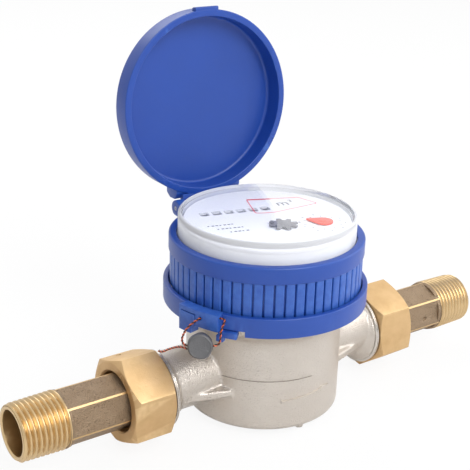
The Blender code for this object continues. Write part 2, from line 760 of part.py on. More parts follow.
def make_pressure_plate(post_top, spigot_top):
    """The plate between the wet chamber and the dry dial, and its seal."""
    rabbet_top = PLATE_Z + 2 * SEAL_CORD_R + GAP
    rabbet_r = PLATE_R - 2 * SEAL_CORD_R - 2 * GAP
    boss_z = post_top + 2 * GAP
    hole = SPIGOT_R + GAP
    boss_r = hole + PLATE_BOSS_WALL
    points = [
        (0.0, spigot_top + 2 * GAP), (hole, spigot_top + 2 * GAP), (hole, boss_z),
        (boss_r, boss_z), (boss_r, PLATE_Z), (rabbet_r, PLATE_Z),
        (rabbet_r, rabbet_top), (PLATE_R, rabbet_top), (PLATE_R, PLATE_TOP_Z), (0.0, PLATE_TOP_Z),
    ]
    piece("pressure_plate", lathe(points, MIDDLING), brass())
    cord_centre = (rabbet_r + GAP + SEAL_CORD_R, PLATE_Z + SEAL_CORD_R)
    sides = SEAL_CORD_FACETS - 1
    section = arc(cord_centre, SEAL_CORD_R, 0.0, 360.0 * sides / SEAL_CORD_FACETS, sides)
    piece("pressure_plate_o_ring", lathe(section, MIDDLING), rubber())
    shield = tube(SHIELD_INNER_R, PLATE_R, PLATE_TOP_Z + GAP, PLATE_TOP_Z + GAP + SHIELD_HEIGHT, MIDDLING)
    piece("magnetic_shield_ring", shield, steel())


def make_register_cup():
    """The white housing of the dial, which hangs by its flange."""
    points = [
        (0.0, CUP_Z), (CUP_R, CUP_Z), (CUP_R, CUP_FLANGE_Z), (FLANGE_R, CUP_FLANGE_Z),
        (FLANGE_R, CUP_LEDGE_Z), (CUP_UPPER_R, CUP_LEDGE_Z), (CUP_UPPER_R, CUP_RIM_Z),
        (CUP_UPPER_INNER_R, CUP_RIM_Z), (CUP_UPPER_INNER_R, CUP_LEDGE_Z),
        (CUP_INNER_R, CUP_LEDGE_Z), (CUP_INNER_R, CUP_FLOOR_Z), (0.0, CUP_FLOOR_Z),
    ]
    piece("register_cup", lathe(points, MIDDLING), white())


def make_cover():
    """The clear cover and the slip washer over its flange."""
    inner = COVER_R - COVER_WALL
    corner = (COVER_R - COVER_ROUNDING, COVER_TOP_Z - COVER_ROUNDING)
    points = [(inner, COVER_FLANGE_Z), (FLANGE_R, COVER_FLANGE_Z)]
    points += [(FLANGE_R, COVER_FLANGE_Z + COVER_FLANGE), (COVER_R, COVER_FLANGE_Z + COVER_FLANGE)]
    points += arc(corner, COVER_ROUNDING, 0.0, 90.0, 2)
    points += [(0.0, COVER_TOP_Z), (0.0, COVER_INNER_Z), (inner, COVER_INNER_Z)]
    start = points.index((0.0, COVER_INNER_Z))
    ordered = points[start:] + points[:start]
    clear = material("clear_plastic", (0.95, 0.97, 0.97), 0.04, 0.0, 1.0)
    piece("clear_cover", lathe(ordered, ROUND), clear)
    washer = tube(LIP_INNER_R, FLANGE_R, WASHER_Z, WASHER_Z + WASHER_THICKNESS, MIDDLING)
    piece("slip_washer", washer, white())


def window_places():
    """Middles of the dial's windows, which are those of the rollers."""
    return [ROLLER_FIRST_U + ROLLER_PITCH * index for index in range(ROLLER_COUNT)]


def make_dial():
    """The printed plate with its windows, and the two hands that turn over it."""
    paper = material("dial_face", (0.88, 0.88, 0.86), 0.40)
    plate = piece("dial_plate", rod(DIAL_R, DIAL_Z, DIAL_TOP_Z, ROUND), paper)
    turn = Matrix.Rotation(math.radians(DIAL_TURN), 4, "Z")
    for index, u in enumerate(window_places()):
        low = (u - WINDOW_WIDTH / 2, ROLLER_V - WINDOW_HEIGHT / 2, DIAL_Z - DIAL_THICKNESS)
        high = (u + WINDOW_WIDTH / 2, ROLLER_V + WINDOW_HEIGHT / 2, DIAL_TOP_Z + DIAL_THICKNESS)
        cut(plate, placed(block(low, high), turn), f"window_{index + 1}")
    for label, u, v in (("star_hole", STAR_U, STAR_V), ("pointer_hole", POINTER_U, POINTER_V)):
        hole = rod(SPINDLE_R + GAP, DIAL_Z - DIAL_THICKNESS, DIAL_TOP_Z + DIAL_THICKNESS, FINE)
        cut(plate, placed(hole, shift(*dial_point(u, v))), label)
    top = STAR_Z + STAR_THICKNESS
    place = dial_point(STAR_U, STAR_V, STAR_Z)
    points = []
    for index in range(STAR_POINTS):
        middle = 360.0 * index / STAR_POINTS
        corners = (
            (STAR_ROOT_R, -STAR_ROOT_TURN), (STAR_TIP_R, -STAR_TIP_TURN),
            (STAR_TIP_R, STAR_TIP_TURN), (STAR_ROOT_R, STAR_ROOT_TURN),
        )
        for radius, offset in corners:
            points.append(tuple(polar(radius, middle + offset))[:2])
    star = placed(prism(points, 0.0, top - STAR_Z), shift(*place))
    grey = material("grey_plastic", (0.16, 0.17, 0.18), 0.45)
    leak_star = piece("leak_star", star, grey, place)
    hole = rod(SPINDLE_R + GAP, -STAR_THICKNESS, 2 * STAR_THICKNESS, FINE)
    cut(leak_star, placed(hole, shift(*place)), "spindle_hole")
    place = dial_point(POINTER_U, POINTER_V, STAR_Z)
    hub = SPINDLE_R + GAP + POINTER_HUB_WALL
    outline = arc((0.0, 0.0), hub, POINTER_HUB_TURN, 180.0 - POINTER_HUB_TURN, 3)
    outline += [(-POINTER_LENGTH, POINTER_TIP_HALF), (-POINTER_LENGTH, -POINTER_TIP_HALF)]
    outline += arc((0.0, 0.0), hub, 180.0 + POINTER_HUB_TURN, 360.0 - POINTER_HUB_TURN, 3)
    outline += [(POINTER_TAIL, -POINTER_TAIL_HALF), (POINTER_TAIL, POINTER_TAIL_HALF)]
    turned = shift(*place) @ Matrix.Rotation(math.radians(POINTER_REST), 4, "Z")
    arm = placed(prism(outline, 0.0, STAR_THICKNESS), turned)
    red = material("red_plastic", (0.75, 0.04, 0.03), 0.40)
    pointer = piece("dial_pointer", arm, red, place)
    hole = rod(SPINDLE_R + GAP, -STAR_THICKNESS, 2 * STAR_THICKNESS, FINE)
    cut(pointer, placed(hole, shift(*place)), "spindle_hole")


def make_rollers():
    """The number rollers on their shaft."""
    black = material("roller_black", (0.03, 0.03, 0.03), 0.45)
    axis = Matrix.Rotation(math.radians(DIAL_TURN), 4, "Z") @ Matrix.Rotation(math.pi / 2, 4, "Y")
    for index, u in enumerate(window_places()):
        place = dial_point(u, ROLLER_V, ROLLER_Z)
        drum = tube(ROLLER_SHAFT_R + GAP, ROLLER_R, -ROLLER_WIDTH / 2, ROLLER_WIDTH / 2, FINE)
        piece(f"number_roller_{index + 1}", placed(drum, shift(*place) @ axis), black, place)
    middle = dial_point(0.0, ROLLER_V, ROLLER_Z)
    shaft = rod(ROLLER_SHAFT_R, EAR_LEFT_U - GAP, EAR_RIGHT_U + EAR_THICKNESS + GAP, FINE)
    piece("roller_shaft", placed(shaft, shift(*middle) @ axis), steel())


def gear_outline(teeth, module, turn):
    """Teeth with narrow tips and V shaped gaps, the first tip at the turn."""
    pitch_r = module * teeth / 2
    tip_r = pitch_r + TOOTH_TIP * module
    root_r = pitch_r - TOOTH_ROOT * module
    step = 360.0 / teeth
    points = []
    for index in range(teeth):
        middle = turn + index * step
        for radius, offset in ((root_r, -0.5), (tip_r, -TOOTH_TIP_SHARE), (tip_r, TOOTH_TIP_SHARE)):
            points.append(tuple(polar(radius, middle + offset * step))[:2])
    return points


def gear(teeth, module, turn, bottom, height, u, v):
    """A toothed disc in the dial's own directions."""
    place = Matrix.Rotation(math.radians(DIAL_TURN), 4, "Z") @ shift(u, v, 0.0)
    return placed(prism(gear_outline(teeth, module, turn), bottom, bottom + height), place)


def line_turn(u_from, v_from, u_to, v_to):
    """The turn of the line from one centre to another."""
    return math.degrees(math.atan2(v_to - v_from, u_to - u_from))


def spindle(name, u, v, bottom, top, carrier=()):
    """The thin shaft of a wheel, with what is turned on it."""
    place = dial_point(u, v)
    outline = [(0.0, bottom), (SPINDLE_R, bottom), *carrier, (SPINDLE_R, top), (0.0, top)]
    return piece(name, placed(lathe(outline, FINE), shift(*place)), white(), place)


def make_gears():
    """The train from the magnet to the star, the pointer and the rollers."""
    below = CUP_FLOOR_Z + GAP
    hub_top = below + 2 * GAP + FOLLOWER_MAGNET_HEIGHT
    carrier = (
        (SPINDLE_R, below + GAP), (CARRIER_R, below + GAP), (CARRIER_R, below + 2 * GAP),
        (CARRIER_HUB_R, below + 2 * GAP), (CARRIER_HUB_R, hub_top), (SPINDLE_R, hub_top),
    )
    first = spindle("follower_spindle", 0.0, 0.0, below, TOP_PLATE_TOP_Z, carrier)
    ring = tube(CARRIER_HUB_R + GAP, FOLLOWER_MAGNET_R, below + 3 * GAP,
                below + 3 * GAP + FOLLOWER_MAGNET_HEIGHT, SMALL)
    piece("follower_magnet", ring, magnet())
    to_star = line_turn(0.0, 0.0, STAR_U, STAR_V)
    add(first, gear(FOLLOWER_TEETH, FIRST_MODULE, to_star, LEVEL_FIRST - GEAR_THICKNESS / 2,
                    PINION_HEIGHT, 0.0, 0.0), "pinion")

    star = spindle("star_spindle_wheel", STAR_U, STAR_V, FRAME_Z, STAR_Z + STAR_THICKNESS - GAP)
    star_turn = to_star + 180.0 + 180.0 / STAR_WHEEL_TEETH
    add(star, gear(STAR_WHEEL_TEETH, FIRST_MODULE, star_turn, LEVEL_FIRST, GEAR_THICKNESS,
                   STAR_U, STAR_V), "wheel")
    to_middle = line_turn(STAR_U, STAR_V, MIDDLE_U, MIDDLE_V)
    add(star, gear(STAR_PINION_TEETH, SECOND_MODULE, to_middle, LEVEL_SECOND, PINION_HEIGHT,
                   STAR_U, STAR_V), "pinion")

    middle = spindle("middle_wheel", MIDDLE_U, MIDDLE_V, FRAME_Z, LEVEL_THIRD + PINION_HEIGHT / 2)
    middle_turn = to_middle + 180.0 + 180.0 / MIDDLE_WHEEL_TEETH
    add(middle, gear(MIDDLE_WHEEL_TEETH, SECOND_MODULE, middle_turn, LEVEL_SECOND, GEAR_THICKNESS,
                     MIDDLE_U, MIDDLE_V), "wheel")
    to_pointer = line_turn(MIDDLE_U, MIDDLE_V, POINTER_U, POINTER_V)
    add(middle, gear(MIDDLE_PINION_TEETH, THIRD_MODULE, to_pointer, LEVEL_THIRD, PINION_HEIGHT / 2,
                     MIDDLE_U, MIDDLE_V), "pinion")

    pointer = spindle("pointer_spindle_wheel", POINTER_U, POINTER_V, TOP_PLATE_Z,
                      STAR_Z + STAR_THICKNESS - GAP)
    pointer_turn = to_pointer + 180.0 + 180.0 / POINTER_WHEEL_TEETH
    add(pointer, gear(POINTER_WHEEL_TEETH, THIRD_MODULE, pointer_turn, LEVEL_THIRD, PINION_HEIGHT / 2,
                      POINTER_U, POINTER_V), "wheel")

    drive = spindle("roller_drive_wheel", DRIVE_U, DRIVE_V, FRAME_Z, LEVEL_THIRD + PINION_HEIGHT / 2)
    to_drive = line_turn(MIDDLE_U, MIDDLE_V, DRIVE_U, DRIVE_V)
    lag = (to_drive - middle_turn) * MIDDLE_WHEEL_TEETH / DRIVE_WHEEL_TEETH
    drive_turn = to_drive + 180.0 + 180.0 / DRIVE_WHEEL_TEETH + lag
    add(drive, gear(DRIVE_WHEEL_TEETH, SECOND_MODULE, drive_turn, LEVEL_SECOND, GEAR_THICKNESS,
                    DRIVE_U, DRIVE_V), "wheel")
    roller_end = ROLLER_LAST_U + ROLLER_WIDTH / 2
    crown_module = 2 * (DRIVE_U - roller_end - GAP) / (DRIVE_PINION_TEETH + 2 * TOOTH_TIP)
    add(drive, gear(DRIVE_PINION_TEETH, crown_module, 0.0, LEVEL_THIRD, PINION_HEIGHT / 2,
                    DRIVE_U, DRIVE_V), "pinion")


def make_gear_frame():
    """The two plates that hold the spindles, and the ears of the roller shaft."""
    plate_r = CUP_INNER_R - GAP
    frame = piece("gear_frame", rod(plate_r, FRAME_Z, FRAME_TOP_Z, MIDDLING), white())
    for index, turn in enumerate(FRAME_PILLAR_TURNS):
        place = polar(FRAME_PILLAR_PLACE, turn)
        pillar = rod(FRAME_PILLAR_R, CUP_FLOOR_Z + GAP, TOP_PLATE_Z - GAP, FINE)
        add(frame, placed(pillar, shift(*place)), f"pillar_{index + 1}")
    spindles = (
        ("follower", 0.0, 0.0), ("star", STAR_U, STAR_V),
        ("middle", MIDDLE_U, MIDDLE_V), ("drive", DRIVE_U, DRIVE_V),
    )
    for label, u, v in spindles:
        hole = rod(SPINDLE_R + GAP, FRAME_Z - GEAR_THICKNESS, FRAME_TOP_Z + GAP, FINE)
        cut(frame, placed(hole, shift(*dial_point(u, v))), label + "_hole")
    top_r = CUP_UPPER_INNER_R - GAP
    top = piece("gear_top_plate", rod(top_r, TOP_PLATE_Z, TOP_PLATE_TOP_Z, ROUND), white())
    turn = Matrix.Rotation(math.radians(DIAL_TURN), 4, "Z")
    ear_half = ROLLER_SHAFT_R + EAR_WALL
    for label, u in (("left_ear", EAR_LEFT_U), ("right_ear", EAR_RIGHT_U)):
        low = (u, ROLLER_V - ear_half, TOP_PLATE_Z + TOP_PLATE_THICKNESS / 2)
        high = (u + EAR_THICKNESS, ROLLER_V + ear_half, ROLLER_Z + ear_half)
        add(top, placed(block(low, high), turn), label)
    clear = ROLLER_R + BOSS_PLAY
    low = (EAR_LEFT_U + EAR_THICKNESS, ROLLER_V - clear, TOP_PLATE_Z - GEAR_THICKNESS)
    high = (ROLLER_LAST_U + ROLLER_WIDTH / 2 + GAP, ROLLER_V + clear, TOP_PLATE_TOP_Z + GEAR_THICKNESS)
    cut(top, placed(block(low, high), turn), "roller_opening")
    for label, u, v in (*spindles, ("pointer", POINTER_U, POINTER_V)):
        hole = rod(SPINDLE_R + GAP, TOP_PLATE_Z - GEAR_THICKNESS, TOP_PLATE_TOP_Z + GEAR_THICKNESS, FINE)
        cut(top, placed(hole, shift(*dial_point(u, v))), label + "_hole")
    middle = dial_point(0.0, ROLLER_V, ROLLER_Z)
    bore = rod(ROLLER_SHAFT_R + GAP, EAR_LEFT_U - EAR_THICKNESS, EAR_RIGHT_U + 2 * EAR_THICKNESS, FINE)
    axis = turn @ Matrix.Rotation(math.pi / 2, 4, "Y")
    cut(top, placed(bore, shift(*middle) @ axis), "shaft_hole")


def hinge_matrix():
    """Puts local X along the hinge, local Y away from the ring and Z up."""
    turn = math.radians(HINGE_TURN)
    along = Vector((-math.sin(turn), math.cos(turn), 0.0))
    away = Vector((math.cos(turn), math.sin(turn), 0.0))
    basis = Matrix((along, away, (0.0, 0.0, 1.0))).transposed().to_4x4()
    return basis


def pin_matrix():
    """Puts local Z along the hinge pin, at its middle."""
    middle = shift(*polar(HINGE_REACH, HINGE_TURN, HINGE_Z))
    return middle @ hinge_matrix() @ Matrix.Rotation(math.pi / 2, 4, "Y")


def hinge_prism(outline, start, end):
    """A shape drawn in (away, up) and extruded along the hinge."""
    upright = Matrix(((0, 0, 1, 0), (1, 0, 0, 0), (0, 1, 0, 0), (0, 0, 0, 1)))
    return placed(prism(outline, start, end), hinge_matrix() @ upright)


def ribbed(bm):
    """Raises a rib on each flat of the ring's grip."""
    grip_middle = (RING_Z + RING_BAND_Z) / 2
    flats = []
    for face in bm.faces:
        centre = face.calc_center_median()
        outside = math.hypot(centre.x, centre.y) > (RING_BORE_R + RING_ROOT_R) / 2
        if outside and abs(centre.z - grip_middle) < RIB_HEIGHT:
            flats.append(face)
    bmesh.ops.recalc_face_normals(bm, faces=bm.faces[:])
    bmesh.ops.inset_individual(bm, faces=flats, thickness=RIB_FLANK, depth=RIB_HEIGHT)
    return bm


def make_locking_ring():
    """The ribbed ring that is screwed on the body and carries the hinge."""
    outline = [
        (RING_BORE_R, RING_Z), (RING_ROOT_R, RING_Z), (RING_ROOT_R, RING_BAND_Z),
        (RING_R, RING_BAND_Z), (RING_R, RING_TOP_Z - RIM_BEVEL), (RING_R - RIM_BEVEL, RING_TOP_Z),
        (LIP_INNER_R, RING_TOP_Z), (LIP_INNER_R, LIP_Z), (RING_CAVITY_R, LIP_Z),
        (RING_CAVITY_R, RIM_Z), (RING_BORE_R, RIM_Z),
    ]
    ring = piece("locking_ring", ribbed(lathe(outline, RIB_COUNT)), blue())
    wall = RING_R - RING_TOP_WALL / 2
    inner_ear = KNUCKLE_HALF + GAP
    for side, label in ((-1, "left"), (1, "right")):
        start, end = sorted((side * inner_ear, side * (inner_ear + EAR_WIDTH)))
        reach = math.sqrt(wall ** 2 - (inner_ear + EAR_WIDTH) ** 2) - RING_TOP_WALL
        ear = arc((HINGE_REACH, HINGE_Z), EAR_R, EAR_ARC_START, EAR_ARC_END, EAR_STEPS)
        ear = [(reach, RING_BAND_Z + 2 * RIM_BEVEL)] + ear + [(reach, RING_TOP_Z - RIM_BEVEL)]
        added = add(ring, hinge_prism(ear, start, end), label + "_ear")
        cut(added, rod(wall, RING_Z, RING_TOP_Z + EAR_R, RIB_COUNT), "round_back")
    pin_hole = placed(
        rod(HINGE_PIN_R + GAP, -(inner_ear + EAR_WIDTH + EAR_R), inner_ear + EAR_WIDTH + EAR_R, FINE),
        pin_matrix(),
    )
    cut(ring, pin_hole, "pin_hole")
    pin = placed(
        rod(HINGE_PIN_R, -(inner_ear + EAR_WIDTH), inner_ear + EAR_WIDTH, FINE),
        pin_matrix(),
    )
    piece("hinge_pin", pin, steel(), polar(HINGE_REACH, HINGE_TURN, HINGE_Z))


def make_lid():
    """The cup shaped lid, drawn shut over the cover and then swung open."""
    floor_z = RIM_PLANE_Z + LID_DEPTH
    top_z = floor_z + LID_FLOOR
    outer_corner = (LID_R - LID_ROUNDING, top_z - LID_ROUNDING)
    inner_corner = (LID_INNER_R - LID_ROUNDING, floor_z - LID_ROUNDING)
    points = [(0.0, floor_z)] + arc(inner_corner, LID_ROUNDING, 90.0, 0.0, 2)
    points += [(LID_INNER_R, RIM_PLANE_Z), (LID_R, RIM_PLANE_Z)]
    points += arc(outer_corner, LID_ROUNDING, 0.0, 90.0, 2) + [(0.0, top_z)]
    origin = polar(HINGE_REACH, HINGE_TURN, HINGE_Z)
    lid = piece("lid", lathe(points, ROUND), blue(), origin)
    knuckle = rod(KNUCKLE_R, -KNUCKLE_HALF, KNUCKLE_HALF, SMALL)
    add(lid, placed(knuckle, pin_matrix()), "knuckle")
    reach = (LID_INNER_R + math.sqrt(LID_R ** 2 - KNUCKLE_HALF ** 2)) / 2
    strap = ((reach, RIM_PLANE_Z), (HINGE_REACH, RIM_PLANE_Z), (HINGE_REACH, HINGE_Z + KNUCKLE_R - TINY),
             (reach, RIM_PLANE_Z + TAB_THICKNESS))
    add(lid, hinge_prism(strap, -KNUCKLE_HALF + TINY, KNUCKLE_HALF - TINY), "hinge_strap")
    tab_top = RIM_PLANE_Z + TAB_THICKNESS
    tab = ((-LID_R - TAB_REACH, RIM_PLANE_Z + TINY), (LID_ROUNDING - LID_R, RIM_PLANE_Z + TINY),
           (LID_ROUNDING - LID_R, tab_top), (-LID_R - TAB_REACH, tab_top))
    add(lid, hinge_prism(tab, -TAB_HALF, TAB_HALF), "finger_tab")
    bore = rod(HINGE_PIN_R + GAP, -KNUCKLE_HALF - EAR_R, KNUCKLE_HALF + EAR_R, FINE)
    cut(lid, placed(bore, pin_matrix()), "pin_hole")
    axis = Vector((-math.sin(math.radians(HINGE_TURN)), math.cos(math.radians(HINGE_TURN)), 0.0))
    lid.rotation_euler = Matrix.Rotation(math.radians(LID_OPEN), 3, axis).to_euler()


def sector(inner, outer, start, end, bottom, top, steps):
    """A piece of a ring wall between two turns."""
    outline = arc((0.0, 0.0), outer, start, end, steps) + arc((0.0, 0.0), inner, end, start, steps)
    return prism(outline, bottom, top)


def make_seal_band():
    """The hoop round the body's head with the clasp that the wire holds shut."""
    hoop = tube(BAND_INNER_R, BAND_R, BAND_Z, BAND_Z + BAND_HEIGHT, ROUND)
    band = piece("seal_band", hoop, blue())
    notch_top = BAND_Z + NOTCH_HEIGHT
    notch = sector(BAND_INNER_R - GAP, BAND_R + GAP, NOTCH_START, NOTCH_END,
                   BAND_Z - NOTCH_HEIGHT, notch_top, 1)
    cut(band, notch, "notch")
    inner = BAND_R - BAND_WALL / 2
    clasp_r = BAND_R + CLASP_DEPTH
    bottom = BAND_Z + CLASP_LIFT
    top = BAND_Z + BAND_HEIGHT + CLASP_RISE
    add(band, sector(inner, clasp_r, CLASP_START, CLASP_END, bottom, top, CLASP_STEPS), "clasp")
    foot_z = BAND_Z - CLASP_FOOT_DROP
    add(band, sector(inner, clasp_r, CLASP_START, CLASP_FOOT_END, foot_z, (bottom + top) / 2, 2), "foot")
    tongue_r = BAND_R + TONGUE_DEPTH
    tongue_z = BAND_Z - TONGUE_DROP
    tongue_top = tongue_z + TONGUE_HEIGHT
    add(band, sector(inner, tongue_r, TONGUE_START, TONGUE_END, tongue_z, tongue_top, 2), "tongue")
    tab_z = BAND_Z - TONGUE_TAB_DROP
    tab = sector(inner, tongue_r - TONGUE_TAB_INSET, TONGUE_TAB_START, TONGUE_TAB_END, tab_z, BAND_Z, 1)
    add(band, tab, "tongue_tab")
    outward = Matrix.Rotation(math.pi / 2, 4, "Y")
    hole = rod(WIRE_HOLE_R, clasp_r - WIRE_HOLE_SIDE_DEPTH, clasp_r + CLASP_DEPTH, FINE)
    around = Matrix.Rotation(math.radians(WIRE_HOLE_SIDE_TURN), 4, "Z")
    cut(band, placed(hole, shift(0.0, 0.0, top - WIRE_HOLE_SIDE_DROP) @ around @ outward), "side_wire_hole")
    hole = rod(WIRE_HOLE_R, -WIRE_HOLE_END_DEPTH, CLASP_DEPTH, FINE)
    mouth = polar(clasp_r - WIRE_HOLE_END_INSET, CLASP_END, top - WIRE_HOLE_END_DROP)
    around = Matrix.Rotation(math.radians(CLASP_END + 90.0), 4, "Z")
    cut(band, placed(hole, shift(*mouth) @ around @ outward), "end_wire_hole")


def hexagon(flats, turn):
    """The outline of a hexagon from its size across the flats."""
    return ring_points(flats / math.sqrt(3.0), 6, turn)


def make_union(side, name, nut_turn, tail_turn):
    """One union: gasket, tailpiece and the nut that draws them to the body."""
    nut_origin = (side * NUT_SHOULDER_X, 0.0, PIPE_HEIGHT)
    corner_r = NUT_FLATS / math.sqrt(3.0)
    hexagonal = prism(hexagon(NUT_FLATS, nut_turn), NUT_X, NUT_END_X)
    nut = piece(name + "_union_nut", placed(hexagonal, along_pipe(side)), brass(), nut_origin)
    bevel_r = corner_r - 2 * NUT_BEVEL / math.tan(math.radians(NUT_CHAMFER))
    turned = lathe([
        (0.0, NUT_X - NUT_BEVEL), (bevel_r, NUT_X - NUT_BEVEL),
        (corner_r + TINY, NUT_X + NUT_BEVEL), (corner_r + TINY, NUT_END_X - NUT_BEVEL),
        (bevel_r, NUT_END_X + NUT_BEVEL), (0.0, NUT_END_X + NUT_BEVEL),
    ], MIDDLING)
    keep(nut, placed(turned, along_pipe(side)), "bevels")
    bore = lathe([
        (0.0, NUT_X - NUT_BEVEL), (NUT_BORE_R, NUT_X - NUT_BEVEL), (NUT_BORE_R, NUT_SHOULDER_X),
        (NUT_HOLE_R, NUT_SHOULDER_X), (NUT_HOLE_R, NUT_END_X - NUT_BORE_BEVEL),
        (NUT_HOLE_R + 2 * NUT_BORE_BEVEL, NUT_END_X + NUT_BORE_BEVEL), (0.0, NUT_END_X + NUT_BORE_BEVEL),
    ], MIDDLING)
    cut(nut, placed(bore, along_pipe(side)), "bore")

    hexagonal = prism(hexagon(TAIL_HEX_FLATS, tail_turn), TAIL_HEX_X - TAIL_FLANGE / 2, TAIL_THREAD_X)
    tailpiece = piece(name + "_tailpiece", placed(hexagonal, along_pipe(side)), brass())
    corners = rod(TAIL_HEX_R, TAIL_HEX_X - TAIL_FLANGE, TAIL_THREAD_X + TAIL_BEVEL, MIDDLING)
    keep(tailpiece, placed(corners, along_pipe(side)), "turned_corners")
    flange = rod(TAIL_FLANGE_R, TAIL_X, TAIL_HEX_X, MIDDLING)
    add(tailpiece, placed(flange, along_pipe(side)), "flange")
    flat_r = TAIL_HEX_FLATS / 2
    thread = lathe([
        (0.0, TAIL_THREAD_X - TAIL_BEVEL), (flat_r - TAIL_BEVEL, TAIL_THREAD_X - TAIL_BEVEL),
        (TAIL_END_THREAD_R, TAIL_THREAD_X + TAIL_BEVEL / 2), (TAIL_END_THREAD_R, TAIL_END_X - TAIL_BEVEL),
        (TAIL_END_THREAD_R - TAIL_BEVEL, TAIL_END_X), (0.0, TAIL_END_X),
    ], MIDDLING)
    add(tailpiece, placed(thread, along_pipe(side)), "thread")
    bore = rod(TAIL_BORE_R, TAIL_X - TAIL_BEVEL, TAIL_END_X + TAIL_BEVEL, SMALL)
    cut(tailpiece, placed(bore, along_pipe(side)), "bore")

    gasket = tube(TAIL_BORE_R + GAP, TAIL_FLANGE_R - GAP, GASKET_X, GASKET_X + GASKET_THICKNESS, SMALL)
    piece(name + "_gasket", placed(gasket, along_pipe(side)), rubber())


def smooth_route(knots, steps):
    """Points along a smooth curve through the given knots."""
    ends = [2 * knots[0] - knots[1]] + knots + [2 * knots[-1] - knots[-2]]
    points = []
    for index in range(len(knots) - 1):
        a, b, c, d = ends[index:index + 4]
        for step in range(steps):
            t = step / steps
            points.append(0.5 * ((2 * b) + (c - a) * t + (2 * a - 5 * b + 4 * c - d) * t ** 2
                                 + (3 * b - a - 3 * c + d) * t ** 3))
    return points + [knots[-1]]


def wire(name, knots, steps):
    """A soft wire as a curve with a round section and closed ends."""
    points = smooth_route([Vector(knot) for knot in knots], steps)
    curve = bpy.data.curves.new(name, "CURVE")
    curve.dimensions = "3D"
    curve.bevel_depth = WIRE_R
    curve.bevel_resolution = 1
    curve.use_fill_caps = True
    spline = curve.splines.new("POLY")
    spline.points.add(len(points) - 1)
    for target, point in zip(spline.points, points):
        target.co = (*point, 1.0)
    curve.materials.append(material("copper", (0.72, 0.32, 0.16), 0.35, 1.0))
    made = bpy.data.objects.new(name, curve)
    bpy.context.scene.collection.objects.link(made)


# Routes of the seal's wire, as chosen points from hole to hole
LOOP_ROUTE = (
    (-0.03467, -0.01875, 0.0503), (-0.0339, -0.0200, 0.0503), (-0.0335, -0.0210, 0.0504),
    (-0.0338, -0.0221, 0.0500), (-0.0349, -0.0228, 0.0492), (-0.0358, -0.0231, 0.0478),
    (-0.0361, -0.0230, 0.0460), (-0.0362, -0.0229, 0.0440),
    (-0.0368, -0.0227, 0.0424), (-0.0385, -0.0215, 0.0417), (-0.0402, -0.0203, 0.0417),
    (-0.0418, -0.0192, 0.0417), (-0.0434, -0.0181, 0.0417), (-0.0452, -0.0168, 0.0417),
    (-0.0464, -0.0159, 0.0423), (-0.0467, -0.0154, 0.0439), (-0.0458, -0.0153, 0.0460),
    (-0.0438, -0.0151, 0.0478), (-0.0412, -0.0148, 0.0488), (-0.0391, -0.0142, 0.0490),
    (-0.0368, -0.0134, 0.0490),
)
TAIL_ROUTE = (
    (-0.0453, -0.0167, 0.0405), (-0.0456, -0.0148, 0.0403), (-0.0457, -0.0120, 0.0394),
    (-0.0461, -0.0092, 0.0380), (-0.0466, -0.0065, 0.0363), (-0.0468, -0.0042, 0.0347),
    (-0.0468, -0.0024, 0.0337), (-0.0467, -0.0006, 0.0333),
)


def make_seal():
    """The lead seal, the wire loop that it closes and the wire's loose tail."""
    facing = Vector(SEAL_FACING).normalized()
    right = facing.cross(Vector((0.0, 0.0, -1.0))).normalized()
    basis = Matrix((right, facing.cross(right), facing)).transposed().to_4x4()
    place = shift(*SEAL_PLACE) @ basis
    half = SEAL_THICKNESS / 2
    bevel = SEAL_THICKNESS / 8
    disc = lathe([
        (0.0, -half), (SEAL_R - bevel, -half), (SEAL_R, bevel - half),
        (SEAL_R, half - bevel), (SEAL_R - bevel, half), (0.0, half),
    ], SMALL)
    lead = material("lead", (0.42, 0.43, 0.43), 0.55, 1.0)
    seal = piece("lead_seal", placed(disc, place), lead, SEAL_PLACE)
    hole = rod(WIRE_HOLE_R, -2 * SEAL_R, 2 * SEAL_R, FINE)
    cut(seal, placed(hole, place @ Matrix.Rotation(math.pi / 2, 4, "Y")), "wire_hole")
    wire("seal_wire_loop", LOOP_ROUTE, WIRE_STEPS)
    wire("seal_wire_tail", TAIL_ROUTE, WIRE_STEPS)


def make_all():
    """Makes every sub-part of the meter."""
    clear_scene()
    make_body()
    make_strainer()
    post_top, spigot_top = make_impeller()
    make_pressure_plate(post_top, spigot_top)
    make_register_cup()
    make_gear_frame()
    make_gears()
    make_rollers()
    make_dial()
    make_cover()
    make_locking_ring()
    make_lid()
    make_seal_band()
    make_union(-1, "inlet", NUT_TURN_INLET, TAIL_TURN_INLET)
    make_union(1, "outlet", NUT_TURN_OUTLET, TAIL_TURN_OUTLET)
    make_seal()


make_all()
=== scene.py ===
"""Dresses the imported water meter: finer forms, finishes, studio light and camera."""

import math

import bmesh
import bpy
from mathutils import Matrix, Vector


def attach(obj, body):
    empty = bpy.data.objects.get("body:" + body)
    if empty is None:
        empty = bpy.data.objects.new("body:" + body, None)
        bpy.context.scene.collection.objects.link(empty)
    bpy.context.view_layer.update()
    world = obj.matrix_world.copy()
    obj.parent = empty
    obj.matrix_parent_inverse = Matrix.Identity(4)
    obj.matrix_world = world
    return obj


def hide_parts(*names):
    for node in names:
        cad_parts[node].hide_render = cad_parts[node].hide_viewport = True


# Shapes are drawn in millimetres and made in metres
METRE = 0.001

